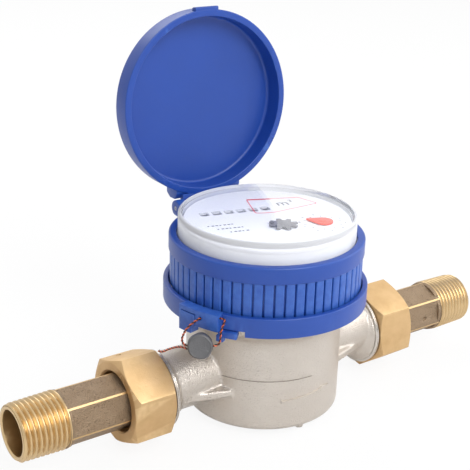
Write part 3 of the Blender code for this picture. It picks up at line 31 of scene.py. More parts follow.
# Sizes of the real meter, in the frame of the solids
PIPE_HEIGHT = 18.0
RING_R = 35.9
RING_ROOT_R = 34.4
RING_BORE_R = 32.7
RING_CAVITY_R = 34.6
RING_BAND_Z = 62.9
RING_TOP = 69.0
LIP_Z = 67.4
LIP_INNER_R = 33.0
RIB_COUNT = 60
HINGE_REACH = 39.0
HINGE_Z = 68.2
HINGE_TURN = 87.25
HINGE_BORE_R = 1.5
PIN_R = 1.2
PIN_HALF = 16.0
LID_OPEN = 92.92
LID_R = 35.6
LID_INNER_R = 33.0
LID_RIM_Z = 69.4
LID_FLOOR_Z = 77.0
LID_TOP_Z = 78.4
KNUCKLE_HALF = 11.9
EAR_INNER = 12.2
EAR_WIDTH = 3.8
EAR_R = 3.2
KNUCKLE_R = 2.7
BAND_INNER_R = 35.9
BAND_R = 37.8
BAND_Z = 43.6
BAND_TOP = 51.0
CLASP_INNER_R = 36.9
DIAL_TURN = -15.48
DIAL_Z = 72.1
DIAL_TOP = 72.9
STAR_Z = 73.2
ROLLER_Z = 68.8
ROLLER_R = 3.0
ROLLER_V = 9.2
ROLLER_U = [2.7 - 4.75 * (5 - index) for index in range(6)]
READING = "002735"
STAR_U = 2.3
STAR_V = -9.6
SCALE_U = 17.1
SCALE_V = -10.4
NUT_ACROSS = 29.3
TAIL_ACROSS = 18.2
TAIL_BORE_R = 8.0
BODY_THREAD_START = 47.4
TAIL_THREAD_START = 86.2

# The visible grip starts lower than the solid's, behind the band
RING_SKIRT_Z = 49.6

# Finer forms: hinge and lid, webs, flow arrow and mould seam, print, seal hole and a casting pit
EAR_SEAT_R = 35.3
SHOULDER_HALF = 14.4
STRAP_ROOT = 34.4
TAB_HALF = 5.1
SNAP_R = 33.5
SNAP_TURNS = (-47.0, 108.0, -139.0, 14.0)
WEB_LOW = 15.0
WEB_EDGE = 17.7
ARROW_START = -113.0
ARROW_SWEEP = 42.2
ARROW_TAIL_Z = 14.1
ARROW_RISE = 1.9
ARROW_STEPS = 36
SEAM_START = -163.0
SEAM_SWEEP = 74.0
SEAM_Z = 22.5
SEAM_STEPS = 48
INK = 0.03
PRINT_Z = DIAL_TOP + 0.004
BRIGHT_CORNER_R = 10.26
CORNER_SHARPNESS = 16000.0
SEAL_HOLE_PLACE = (-56.9, 9.96, 29.8)
SEAL_HOLE_LEAN = -21.2
PIT_PLACE = (77.4, -9.1, 17.6)
PIT_LEAN = 83.0

# A thread's profile, as shares of its depth: where its tips end, how soft they are and its level
THREAD_TIP = 0.82
THREAD_ROUNDING = 0.12
THREAD_LEVEL = 0.88

# In metres: the pipe threads' pitch, the grid on which the casting is blended, the seal and its wire
PIPE_PITCH = 0.001814
CASTING_GRID = 0.0005
LOOP_ROUTE = (
    (-0.03467, -0.01875, 0.0503), (-0.0339, -0.0200, 0.0503), (-0.0335, -0.0210, 0.0504),
    (-0.0338, -0.0221, 0.0500), (-0.0349, -0.0228, 0.0492), (-0.0358, -0.0231, 0.0478),
    (-0.0361, -0.0230, 0.0460), (-0.0362, -0.0229, 0.0440),
    (-0.0368, -0.0227, 0.0424), (-0.0385, -0.0215, 0.0417), (-0.0402, -0.0203, 0.0417),
    (-0.0418, -0.0192, 0.0417), (-0.0434, -0.0181, 0.0417), (-0.0452, -0.0168, 0.0417),
    (-0.0464, -0.0159, 0.0423), (-0.0467, -0.0154, 0.0439), (-0.0458, -0.0153, 0.0460),
    (-0.0438, -0.0151, 0.0478), (-0.0412, -0.0148, 0.0488), (-0.0391, -0.0142, 0.0490),
    (-0.0368, -0.0134, 0.0490),
)
TAIL_ROUTE = (
    (-0.0453, -0.0167, 0.0405), (-0.0456, -0.0148, 0.0403), (-0.0457, -0.0120, 0.0394),
    (-0.0461, -0.0092, 0.0380), (-0.0466, -0.0065, 0.0363), (-0.0468, -0.0042, 0.0347),
    (-0.0468, -0.0024, 0.0337), (-0.0467, -0.0006, 0.0333),
)
SEAL_PLACE = (-0.0418, -0.0192, 0.0417)
SEAL_FACING = (-0.56, -0.79, 0.25)
STRAND_R = 0.000225
WIRE_LAY = 0.0021

# The camera's place in metres, its roll in degrees and its lens in millimetres, and the light
CAMERA_PLACE = (-0.22898, -0.29326, 0.20861)
CAMERA_FORWARD = (0.5518, 0.7542, -0.3558)
CAMERA_ROLL = 1.62
CAMERA_LENS = 83.34
LIT_POINT = (0.0, 0.0, 0.04)
FLOOR_GLOW = 0.90
SURROUNDING_LIGHT = 0.55

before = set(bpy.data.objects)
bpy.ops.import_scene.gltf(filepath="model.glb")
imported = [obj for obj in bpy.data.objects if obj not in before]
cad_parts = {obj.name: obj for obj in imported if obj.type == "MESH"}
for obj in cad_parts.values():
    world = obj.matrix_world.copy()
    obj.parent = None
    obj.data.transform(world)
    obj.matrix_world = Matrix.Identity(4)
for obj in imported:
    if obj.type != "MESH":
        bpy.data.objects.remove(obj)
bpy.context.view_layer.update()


def new_object(name, data):
    """An object in the scene that holds the given data."""
    made = bpy.data.objects.new(name, data)
    bpy.context.scene.collection.objects.link(made)
    return made


def polar(radius, turn, z=0.0):
    """A point at a radius and a turn in degrees about the upright axis."""
    angle = math.radians(turn)
    return Vector((radius * math.cos(angle), radius * math.sin(angle), z))


def dial_matrix(u=0.0, v=0.0, z=0.0):
    """Places a shape that is drawn in the dial's own directions."""
    turn = Matrix.Rotation(math.radians(DIAL_TURN), 4, "Z")
    return turn @ Matrix.Translation((u, v, z))


def along_pipe(side):
    """Lays an upright shape on the pipe line, towards the inlet or the outlet."""
    turn = Matrix(((0, 0, side, 0), (-1, 0, 0, 0), (0, 1, 0, 0), (0, 0, 0, 1)))
    return Matrix.Translation((0.0, 0.0, PIPE_HEIGHT)) @ turn


def hinge_frame():
    """Local X along the hinge, local Y away from the ring and Z up."""
    turn = math.radians(HINGE_TURN)
    along = Vector((-math.sin(turn), math.cos(turn), 0.0))
    away = Vector((math.cos(turn), math.sin(turn), 0.0))
    return Matrix((along, away, (0.0, 0.0, 1.0))).transposed().to_4x4()


def pin_line():
    """Lays an upright shape on the axis of the hinge pin."""
    place = Matrix.Translation(polar(HINGE_REACH, HINGE_TURN, HINGE_Z))
    return place @ hinge_frame() @ Matrix.Rotation(math.pi / 2, 4, "Y")


def thread_place(side, start):
    """Lays a thread that is drawn in metres on the pipe line, from a start in millimetres."""
    place = Matrix.Scale(METRE, 4) @ along_pipe(side) @ Matrix.Translation((0.0, 0.0, start))
    return place @ Matrix.Scale(1.0 / METRE, 4)


def softened(points, steps=4):
    """An outline whose corners are rounded; a corner is (x, y) or (x, y, radius)."""
    made = []
    count = len(points)
    for index, corner in enumerate(points):
        here = Vector(corner[:2])
        radius = corner[2] if len(corner) > 2 else 0.0
        if radius == 0.0:
            made.append(tuple(here))
            continue
        back = Vector(points[index - 1][:2]) - here
        ahead = Vector(points[(index + 1) % count][:2]) - here
        half = back.angle(ahead) / 2
        reach = min(radius / math.tan(half), 0.49 * back.length, 0.49 * ahead.length)
        radius = reach * math.tan(half)
        middle = here + (back.normalized() + ahead.normalized()).normalized() * (radius / math.sin(half))
        first = here + back.normalized() * reach - middle
        last = here + ahead.normalized() * reach - middle
        sweep = first.angle_signed(last)
        for step in range(steps + 1):
            angle = -sweep * step / steps
            spoke = Matrix.Rotation(angle, 2) @ first
            made.append(tuple(middle + spoke))
    return made


def turned(outline, steps=128, closed=False):
    """Turns an outline of (radius, height) about Z; one that starts on the axis is closed there."""
    bm = bmesh.new()
    verts = [bm.verts.new((radius, 0.0, height)) for radius, height in outline]
    edges = [bm.edges.new(pair) for pair in zip(verts, verts[1:])]
    if closed:
        edges.append(bm.edges.new((verts[-1], verts[0])))
    bmesh.ops.spin(
        bm, geom=verts + edges, cent=(0.0, 0.0, 0.0), axis=(0.0, 0.0, 1.0),
        angle=math.tau, steps=steps, use_merge=True,
    )
    bmesh.ops.remove_doubles(bm, verts=bm.verts[:], dist=1e-4)
    bmesh.ops.recalc_face_normals(bm, faces=bm.faces[:])
    return bm


def thickened(bm, height):
    """A flat shape drawn up by a height."""
    drawn = bmesh.ops.extrude_face_region(bm, geom=bm.faces[:])
    lifted = [item for item in drawn["geom"] if isinstance(item, bmesh.types.BMVert)]
    bmesh.ops.translate(bm, verts=lifted, vec=(0.0, 0.0, height))
    bmesh.ops.recalc_face_normals(bm, faces=bm.faces[:])
    return bm


def raised(outline, bottom, top):
    """A flat outline drawn up from one height to another."""
    bm = bmesh.new()
    bm.faces.new([bm.verts.new((x, y, bottom)) for x, y in outline])
    return thickened(bm, top - bottom)


def circle(radius, steps, turn=0.0):
    """Outline points round a circle."""
    return [tuple(polar(radius, turn + 360.0 * index / steps))[:2] for index in range(steps)]


def hexagon(across, turn):
    """Outline points of a hexagon, by its width across the flats."""
    return circle(across / math.sqrt(3.0), 6, turn)


def arc(radius, start, end, steps):
    """Outline points along an arc about the upright axis."""
    sweep = end - start
    return [tuple(polar(radius, start + sweep * index / steps))[:2] for index in range(steps + 1)]


def sector(inner, outer, start, end, bottom, top):
    """A piece of a ring wall between two turns."""
    steps = max(2, int(abs(end - start) / 1.5))
    return raised(arc(outer, start, end, steps) + arc(inner, end, start, steps), bottom, top)


def moved(bm, matrix):
    """The same shape, moved or turned."""
    bmesh.ops.transform(bm, matrix=matrix, verts=bm.verts[:])
    return bm


def joined(*shapes):
    """Several shapes as one mesh."""
    whole = bmesh.new()
    for shape in shapes:
        mesh = bpy.data.meshes.new("part")
        shape.to_mesh(mesh)
        shape.free()
        whole.from_mesh(mesh)
        bpy.data.meshes.remove(mesh)
    return whole


def build(name, bm, finish, sharp=32.0):
    """An object from a shape in millimetres, with its place in its mesh."""
    mesh = bpy.data.meshes.new(name)
    bm.to_mesh(mesh)
    bm.free()
    mesh.transform(Matrix.Scale(METRE, 4))
    mesh.shade_smooth()
    mesh.set_sharp_from_angle(angle=math.radians(sharp))
    if finish:
        mesh.materials.append(finish)
    return new_object(name, mesh)


def settled(thing, name=None):
    """Turns an object and its modifiers into a plain mesh object."""
    bpy.context.view_layer.update()
    evaluated = thing.evaluated_get(bpy.context.evaluated_depsgraph_get())
    mesh = bpy.data.meshes.new_from_object(evaluated)
    return new_object(name or thing.name + "_made", mesh)


def carved(thing, tools, sharp=32.0, bevel=0.0):
    """Cuts or joins tools into a piece, bevels its edges if asked and removes the tools."""
    for bm, operation in tools:
        tool = build(thing.name + "_tool", bm, None)
        step = thing.modifiers.new("cut", "BOOLEAN")
        step.operation = operation
        step.solver = "EXACT"
        step.object = tool
    if bevel:
        edge = thing.modifiers.new("edges", "BEVEL")
        edge.width = bevel * METRE
        edge.segments = 2
        edge.limit_method = "ANGLE"
        edge.angle_limit = math.radians(sharp)
        edge.use_clamp_overlap = True
    name = thing.name
    finish = thing.data.materials[0] if thing.data.materials else None
    tool_objects = [step.object for step in thing.modifiers if step.type == "BOOLEAN"]
    made = settled(thing)
    for old in [thing] + tool_objects:
        bpy.data.objects.remove(old, do_unlink=True)
    made.name = name
    made.data.materials.clear()
    if finish:
        made.data.materials.append(finish)
    for polygon in made.data.polygons:
        polygon.material_index = 0
    made.data.shade_smooth()
    made.data.set_sharp_from_angle(angle=math.radians(sharp))
    return made


# Nodes, in shaders and in Geometry Nodes alike


def feed(tree, value, socket):
    """Feeds a number or another socket into a node's input."""
    if isinstance(value, (int, float)):
        socket.default_value = value
    else:
        tree.links.new(value, socket)


def maths(tree, operation, first, second=0.0, clamp=False):
    """A Math node fed by sockets or plain numbers."""
    node = tree.nodes.new("ShaderNodeMath")
    node.operation = operation
    node.use_clamp = clamp
    feed(tree, first, node.inputs[0])
    feed(tree, second, node.inputs[1])
    return node.outputs[0]


def split_up(tree, vector):
    """The three numbers of a vector."""
    node = tree.nodes.new("ShaderNodeSeparateXYZ")
    tree.links.new(vector, node.inputs[0])
    return node.outputs


def put_together(tree, x=0.0, y=0.0, z=0.0):
    """A vector from three numbers or sockets."""
    node = tree.nodes.new("ShaderNodeCombineXYZ")
    for value, socket in zip((x, y, z), node.inputs):
        feed(tree, value, socket)
    return node.outputs[0]


def own_place(tree):
    """Where a point of the surface lies in its object's own directions."""
    return tree.nodes.new("ShaderNodeTexCoord").outputs["Object"]


def noise(tree, place, scale, detail, roughness):
    """A Noise Texture on the given coordinates."""
    node = tree.nodes.new("ShaderNodeTexNoise")
    node.inputs["Detail"].default_value = detail
    node.inputs["Roughness"].default_value = roughness
    tree.links.new(place, node.inputs["Vector"])
    feed(tree, scale, node.inputs["Scale"])
    return node.outputs["Fac"]


def plain_shader(tree, kind, colour):
    """A shader of one colour."""
    node = tree.nodes.new(kind)
    node.inputs["Color"].default_value = (*colour, 1.0)
    return node.outputs[0]


def mixed(tree, factor, first, second):
    """One shader that gives way to another by a factor."""
    node = tree.nodes.new("ShaderNodeMixShader")
    feed(tree, factor, node.inputs["Fac"])
    tree.links.new(first, node.inputs[1])
    tree.links.new(second, node.inputs[2])
    return node.outputs[0]


# Shader groups that several finishes share


def new_group(name, inputs, outputs):
    """An empty shader node group with its number sockets."""
    group = bpy.data.node_groups.new(name, "ShaderNodeTree")
    for label, value in inputs:
        socket = group.interface.new_socket(name=label, in_out="INPUT", socket_type="NodeSocketFloat")
        socket.default_value = value
    for label in outputs:
        group.interface.new_socket(name=label, in_out="OUTPUT", socket_type="NodeSocketFloat")
    start = group.nodes.new("NodeGroupInput")
    end = group.nodes.new("NodeGroupOutput")
    return group, start, end


def grain_group():
    """Fine surface grain with small pits, as height and as a mask of the pits."""
    group, start, end = new_group(
        "surface grain", [("Grain", 2600.0), ("Pits", 700.0)], ["Height", "Pit Mask"],
    )
    place = own_place(group)
    fine = noise(group, place, start.outputs["Grain"], 1.0, 0.5)
    coarse = noise(group, place, start.outputs["Pits"], 2.0, 0.5)
    pits = maths(group, "MULTIPLY", maths(group, "SUBTRACT", coarse, 0.60), 6.0, True)
    group.links.new(maths(group, "SUBTRACT", fine, pits), end.inputs["Height"])
    group.links.new(pits, end.inputs["Pit Mask"])
    return group


def tool_mark_group():
    """Rings left by a lathe: fine noise that changes along one axis only."""
    group, start, end = new_group(
        "tool marks", [("Along X", 1.0), ("Along Z", 0.0), ("Closeness", 5000.0)], ["Height"],
    )
    place = split_up(group, own_place(group))
    along = maths(
        group, "ADD",
        maths(group, "MULTIPLY", place["X"], start.outputs["Along X"]),
        maths(group, "MULTIPLY", place["Z"], start.outputs["Along Z"]),
    )
    line = put_together(group, maths(group, "MULTIPLY", along, start.outputs["Closeness"]))
    group.links.new(noise(group, line, 1.0, 2.0, 0.6), end.inputs["Height"])
    return group


def mottle_group():
    """Slow changes of colour and gloss over a surface."""
    group, start, end = new_group("mottle", [("Size", 60.0), ("Contrast", 1.0)], ["Value"])
    slow = noise(group, own_place(group), start.outputs["Size"], 4.0, 0.55)
    centred = maths(group, "SUBTRACT", slow, 0.5)
    scaled = maths(group, "MULTIPLY", centred, start.outputs["Contrast"])
    group.links.new(maths(group, "ADD", scaled, 0.5, True), end.inputs["Value"])
    return group


def wear_group():
    """A mask of edges, broken up by noise: rubbed edges on the brass, and a painted highlight along the edges
    of the blue plastic.
    """
    group, start, end = new_group("edge wear", [("Reach", 0.515), ("Strength", 18.0)], ["Mask"])
    edge = group.nodes.new("ShaderNodeNewGeometry").outputs["Pointiness"]
    patchy = noise(group, own_place(group), 420.0, 3.0, 0.6)
    above = maths(group, "SUBTRACT", edge, start.outputs["Reach"])
    mask = maths(group, "MULTIPLY", above, start.outputs["Strength"], True)
    group.links.new(maths(group, "MULTIPLY", mask, patchy, True), end.inputs["Mask"])
    return group


GRAIN = grain_group()
TOOL_MARKS = tool_mark_group()
MOTTLE = mottle_group()
EDGE_WEAR_AND_HIGHLIGHT = wear_group()


class Finish:
    """One Principled material that is built up from shared groups."""

    def __init__(self, name, colour, roughness, metallic=0.0):
        self.material = bpy.data.materials.new(name)
        self.material.use_nodes = True
        self.tree = self.material.node_tree
        self.nodes = self.tree.nodes
        self.links = self.tree.links
        self.shader = self.nodes["Principled BSDF"]
        self.shader.inputs["Base Color"].default_value = (*colour, 1.0)
        self.shader.inputs["Roughness"].default_value = roughness
        self.shader.inputs["Metallic"].default_value = metallic
        self.material.diffuse_color = (*colour, 1.0)
        self.colour = None
        self.base = colour

    def group(self, tree, **values):
        """Places a shared group with its own values."""
        node = self.nodes.new("ShaderNodeGroup")
        node.node_tree = tree
        for label, value in values.items():
            node.inputs[label.replace("_", " ")].default_value = value
        return node.outputs

    def tint(self, factor, other):
        """Mixes another colour over what is there, by a mask."""
        mix = self.nodes.new("ShaderNodeMix")
        mix.data_type = "RGBA"
        self.links.new(factor, mix.inputs["Factor"])
        if self.colour is None:
            mix.inputs["A"].default_value = (*self.base, 1.0)
        else:
            self.links.new(self.colour, mix.inputs["A"])
        mix.inputs["B"].default_value = (*other, 1.0)
        self.colour = mix.outputs["Result"]
        self.links.new(self.colour, self.shader.inputs["Base Color"])

    def vary(self, socket, factor, low, high):
        """Lets a mask move one shader value between two levels."""
        level = self.nodes.new("ShaderNodeMapRange")
        level.inputs["To Min"].default_value = low
        level.inputs["To Max"].default_value = high
        self.links.new(factor, level.inputs["Value"])
        self.links.new(level.outputs["Result"], self.shader.inputs[socket])

    def bump(self, height, depth):
        """Adds a relief of a depth in metres."""
        bump = self.nodes.new("ShaderNodeBump")
        bump.inputs["Distance"].default_value = depth
        self.links.new(height, bump.inputs["Height"])
        self.links.new(bump.outputs["Normal"], self.shader.inputs["Normal"])


def nickel_cast():
    """Plated casting: satin, a fine sandy grain and slightly warm patches."""
    finish = Finish("nickel_cast", (0.60, 0.545, 0.49), 0.34, 0.92)
    grain = finish.group(GRAIN, Grain=2000.0, Pits=2900.0)
    mottle = finish.group(MOTTLE, Size=70.0, Contrast=1.6)
    finish.tint(mottle["Value"], (0.64, 0.59, 0.535))
    finish.tint(grain["Pit Mask"], (0.53, 0.48, 0.43))
    finish.vary("Roughness", mottle["Value"], 0.26, 0.38)
    finish.bump(grain["Height"], 0.00028)
    return finish.material


def nickel_turned(along_x, along_z):
    """Plated metal that was turned on a lathe."""
    finish = Finish("nickel_turned", (0.66, 0.62, 0.57), 0.22, 1.0)
    marks = finish.group(TOOL_MARKS, Along_X=along_x, Along_Z=along_z, Closeness=4200.0)
    mottle = finish.group(MOTTLE, Size=120.0, Contrast=1.0)
    finish.tint(mottle["Value"], (0.56, 0.53, 0.49))
    finish.vary("Roughness", marks["Height"], 0.16, 0.34)
    finish.bump(marks["Height"], 0.00003)
    return finish.material


def brass_nut():
    """Milled brass: satin with cloudy patches and rubbed edges."""
    finish = Finish("brass_milled", (0.64, 0.43, 0.225), 0.40, 1.0)
    mottle = finish.group(MOTTLE, Size=160.0, Contrast=1.8)
    grain = finish.group(GRAIN, Grain=3000.0, Pits=500.0)
    wear_and_highlight = finish.group(EDGE_WEAR_AND_HIGHLIGHT, Reach=0.51, Strength=22.0)
    finish.tint(mottle["Value"], (0.56, 0.37, 0.18))
    finish.tint(wear_and_highlight["Mask"], (0.86, 0.66, 0.38))
    finish.vary("Roughness", mottle["Value"], 0.46, 0.60)
    finish.bump(grain["Height"], 0.00004)
    return finish.material


def brass_bright():
    """Fresh thread brass with fine rings from the die."""
    finish = Finish("brass_bright", (0.70, 0.52, 0.29), 0.30, 1.0)
    marks = finish.group(TOOL_MARKS, Along_X=1.0, Along_Z=0.0, Closeness=6000.0)
    mottle = finish.group(MOTTLE, Size=200.0, Contrast=1.2)
    finish.tint(mottle["Value"], (0.60, 0.43, 0.23))
    finish.vary("Roughness", marks["Height"], 0.26, 0.42)
    finish.bump(marks["Height"], 0.00002)
    return finish.material


def brass_tail():
    """Raw cast faces between corners that were turned bright."""
    finish = Finish("brass_cast_faces", (0.27, 0.19, 0.12), 0.52, 0.75)
    grain = finish.group(GRAIN, Grain=2300.0, Pits=1900.0)
    mottle = finish.group(MOTTLE, Size=220.0, Contrast=1.8)
    tree = finish.tree
    place = split_up(tree, own_place(tree))
    up = maths(tree, "SUBTRACT", place["Z"], PIPE_HEIGHT * METRE)
    spread = maths(
        tree, "ADD", maths(tree, "MULTIPLY", place["Y"], place["Y"]), maths(tree, "MULTIPLY", up, up),
    )
    past = maths(tree, "SUBTRACT", maths(tree, "SQRT", spread), BRIGHT_CORNER_R * METRE)
    corner = maths(tree, "MULTIPLY", past, CORNER_SHARPNESS, True)
    finish.tint(mottle["Value"], (0.34, 0.25, 0.165))
    finish.tint(grain["Pit Mask"], (0.20, 0.14, 0.09))
    finish.tint(corner, (0.64, 0.44, 0.22))
    finish.vary("Roughness", corner, 0.52, 0.36)
    raw = maths(tree, "SUBTRACT", 1.0, corner)
    finish.bump(maths(tree, "MULTIPLY", grain["Height"], raw), 0.0003)
    return finish.material


def blue_plastic():
    """Moulded blue plastic with a soft gloss, faint flow marks and a painted highlight along its edges."""
    colour = (0.009, 0.053, 0.305)
    finish = Finish("blue_plastic", colour, 0.36)
    mottle = finish.group(MOTTLE, Size=45.0, Contrast=1.4)
    grain = finish.group(GRAIN, Grain=1500.0, Pits=240.0)
    wear_and_highlight = finish.group(EDGE_WEAR_AND_HIGHLIGHT, Reach=0.515, Strength=14.0)
    finish.tint(mottle["Value"], tuple(value * 1.18 for value in colour))
    # Lighter blue along the edges is a painted highlight, where the rounded edges catch the light
    finish.tint(wear_and_highlight["Mask"], (0.05, 0.16, 0.55))
    finish.vary("Roughness", mottle["Value"], 0.32, 0.46)
    finish.bump(grain["Height"], 0.000018)
    return finish.material


def white_plastic(name="white_plastic", colour=(0.84, 0.85, 0.86), roughness=0.38):
    """Moulded white plastic."""
    finish = Finish(name, colour, roughness)
    mottle = finish.group(MOTTLE, Size=80.0, Contrast=0.8)
    grain = finish.group(GRAIN, Grain=1800.0, Pits=300.0)
    finish.tint(mottle["Value"], tuple(value * 0.95 for value in colour))
    finish.bump(grain["Height"], 0.00001)
    return finish.material


def plain_finish(name, colour, roughness, metallic=0.0, depth=0.00002):
    """A small part's finish: one colour broken by mottle and grain."""
    finish = Finish(name, colour, roughness, metallic)
    mottle = finish.group(MOTTLE, Size=180.0, Contrast=1.2)
    grain = finish.group(GRAIN, Grain=2200.0, Pits=600.0)
    finish.tint(mottle["Value"], tuple(min(1.0, value * 1.25) for value in colour))
    finish.vary("Roughness", mottle["Value"], roughness * 0.85, min(1.0, roughness * 1.2))
    finish.bump(grain["Height"], depth)
    return finish.material


def clear_plastic(name="clear_plastic", painted_white=0.0):
    """Polished clear plastic, a trace duller in patches; a share of white diffuse can be mixed in, painted
    light that stands in for the brightness of the cover's upright face.
    """
    finish = Finish(name, (0.985, 0.99, 1.0), 0.0)
    finish.shader.inputs["Transmission Weight"].default_value = 1.0
    finish.shader.inputs["IOR"].default_value = 1.18
    mottle = finish.group(MOTTLE, Size=35.0, Contrast=1.0)
    finish.vary("Roughness", mottle["Value"], 0.0, 0.03)
    tree = finish.tree
    white = plain_shader(tree, "ShaderNodeBsdfDiffuse", (0.80, 0.81, 0.85))
    with_painted_white = mixed(tree, painted_white, finish.shader.outputs[0], white)
    through = plain_shader(tree, "ShaderNodeBsdfTransparent", (0.80, 0.81, 0.83))
    rays = tree.nodes.new("ShaderNodeLightPath")
    whole = mixed(tree, rays.outputs["Is Shadow Ray"], with_painted_white, through)
    tree.links.new(whole, tree.nodes["Material Output"].inputs["Surface"])
    return finish.material


BODY_METAL = nickel_cast()
# The parting line's dark colour is painted shade along the raised line
SEAM_SHADE = plain_finish("seam_painted_shade", (0.27, 0.24, 0.21), 0.60, 0.8)
TURNED_PIPE = nickel_turned(1.0, 0.0)
TURNED_MOUTH = nickel_turned(0.0, 1.0)
NUT_BRASS = brass_nut()
THREAD_BRASS = brass_bright()
TAIL_BRASS = brass_tail()
BLUE = blue_plastic()
WHITE = white_plastic()
PAPER = white_plastic("dial_paint", (0.84, 0.85, 0.90), 0.30)
CLEAR = clear_plastic()
# Painted light: clear plastic with a share of white diffuse, for the bright upright face of the cover
COVER_SIDE_PAINTED_LIGHT = clear_plastic("cover_side_painted_light", 0.72)
BLACK = plain_finish("roller_black", (0.020, 0.020, 0.022), 0.35)
FIGURE = plain_finish("figure_paint", (0.80, 0.80, 0.78), 0.5)
PRINT = plain_finish("print_grey", (0.10, 0.10, 0.12), 0.5)
PRINT_RED = plain_finish("print_red", (0.72, 0.05, 0.06), 0.45)
GREY = plain_finish("star_grey", (0.20, 0.20, 0.215), 0.42)
RED = plain_finish("pointer_red", (0.80, 0.10, 0.07), 0.38)
STEEL = plain_finish("pin_steel", (0.56, 0.57, 0.58), 0.30, 1.0)
MAGNET = plain_finish("magnet_dark", (0.10, 0.10, 0.11), 0.50)
RUBBER = plain_finish("black_rubber", (0.025, 0.025, 0.025), 0.70)
LEAD = plain_finish("pressed_lead", (0.125, 0.125, 0.13), 0.55, 0.7, 0.00012)
COPPER = plain_finish("copper_wire", (0.52, 0.13, 0.07), 0.38, 0.9)
DARK_STRAND = plain_finish("dark_wire", (0.055, 0.025, 0.022), 0.50, 0.5)


# Geometry Nodes trees for what repeats


def new_tree(name, inputs):
    """An empty Geometry Nodes tree with named inputs and one mesh out."""
    tree = bpy.data.node_groups.new(name, "GeometryNodeTree")
    tree.interface.new_socket(name="Geometry", in_out="INPUT", socket_type="NodeSocketGeometry")
    sockets = {}
    for label, kind, value in inputs:
        socket = tree.interface.new_socket(name=label, in_out="INPUT", socket_type=kind)
        if value is not None:
            socket.default_value = value
        sockets[label] = socket.identifier
    tree.interface.new_socket(name="Geometry", in_out="OUTPUT", socket_type="NodeSocketGeometry")
    tree.is_modifier = True
    start = tree.nodes.new("NodeGroupInput")
    end = tree.nodes.new("NodeGroupOutput")
    return tree, sockets, start, end


def finish_tree(tree, start, end, geometry):
    """Ends a tree: real mesh, smooth shading and its material."""
    real = tree.nodes.new("GeometryNodeRealizeInstances")
    tree.links.new(geometry, real.inputs[0])
    shade = tree.nodes.new("GeometryNodeSetShadeSmooth")
    tree.links.new(real.outputs[0], shade.inputs["Geometry"])
    paint = tree.nodes.new("GeometryNodeSetMaterial")
    tree.links.new(shade.outputs[0], paint.inputs["Geometry"])
    tree.links.new(start.outputs["Material"], paint.inputs["Material"])
    tree.links.new(paint.outputs[0], end.inputs[0])


def set_place(tree, mesh, place):
    """Moves each point of a mesh to a place worked out for it."""
    put = tree.nodes.new("GeometryNodeSetPosition")
    tree.links.new(mesh, put.inputs["Geometry"])
    tree.links.new(place, put.inputs["Position"])
    return put.outputs[0]


def squared_bar(tree, mesh, power):
    """Pushes a round bar of unit radius out towards a rounded square by a power below one."""
    place = split_up(tree, tree.nodes.new("GeometryNodeInputPosition").outputs[0])
    pushed = []
    for axis in ("X", "Y"):
        level = maths(tree, "POWER", maths(tree, "ABSOLUTE", place[axis]), power)
        pushed.append(maths(tree, "MULTIPLY", level, maths(tree, "SIGN", place[axis])))
    return set_place(tree, mesh, put_together(tree, *pushed, place["Z"]))


def ring_of_ribs_tree():
    """Rounded ribs that stand evenly round a circle."""
    tree, sockets, start, end = new_tree("ribs round a circle", [
        ("Count", "NodeSocketInt", 12), ("Circle Radius", "NodeSocketFloat", 0.01),
        ("Half Width", "NodeSocketFloat", 0.001), ("Relief", "NodeSocketFloat", 0.001),
        ("Height", "NodeSocketFloat", 0.01), ("Turn", "NodeSocketFloat", 0.0),
        ("Sides", "NodeSocketInt", 12), ("Squareness", "NodeSocketFloat", 0.5),
        ("Material", "NodeSocketMaterial", None),
    ])
    nodes, links, given = tree.nodes, tree.links, start.outputs
    round_line = nodes.new("GeometryNodeMeshCircle")
    links.new(given["Count"], round_line.inputs["Vertices"])
    links.new(given["Circle Radius"], round_line.inputs["Radius"])
    bar = nodes.new("GeometryNodeMeshCylinder")
    links.new(given["Sides"], bar.inputs["Vertices"])
    bar.inputs["Radius"].default_value = 1.0
    bar.inputs["Depth"].default_value = 1.0
    share = maths(tree, "MULTIPLY", nodes.new("GeometryNodeInputIndex").outputs[0], math.tau)
    facing = put_together(tree, z=maths(tree, "DIVIDE", share, given["Count"]))
    put = nodes.new("GeometryNodeInstanceOnPoints")
    links.new(round_line.outputs["Mesh"], put.inputs["Points"])
    links.new(squared_bar(tree, bar.outputs["Mesh"], given["Squareness"]), put.inputs["Instance"])
    links.new(facing, put.inputs["Rotation"])
    size = put_together(tree, given["Relief"], given["Half Width"], given["Height"])
    links.new(size, put.inputs["Scale"])
    whole = nodes.new("GeometryNodeTransform")
    links.new(put.outputs[0], whole.inputs["Geometry"])
    links.new(put_together(tree, z=given["Turn"]), whole.inputs["Rotation"])
    finish_tree(tree, start, end, whole.outputs[0])
    return tree, sockets


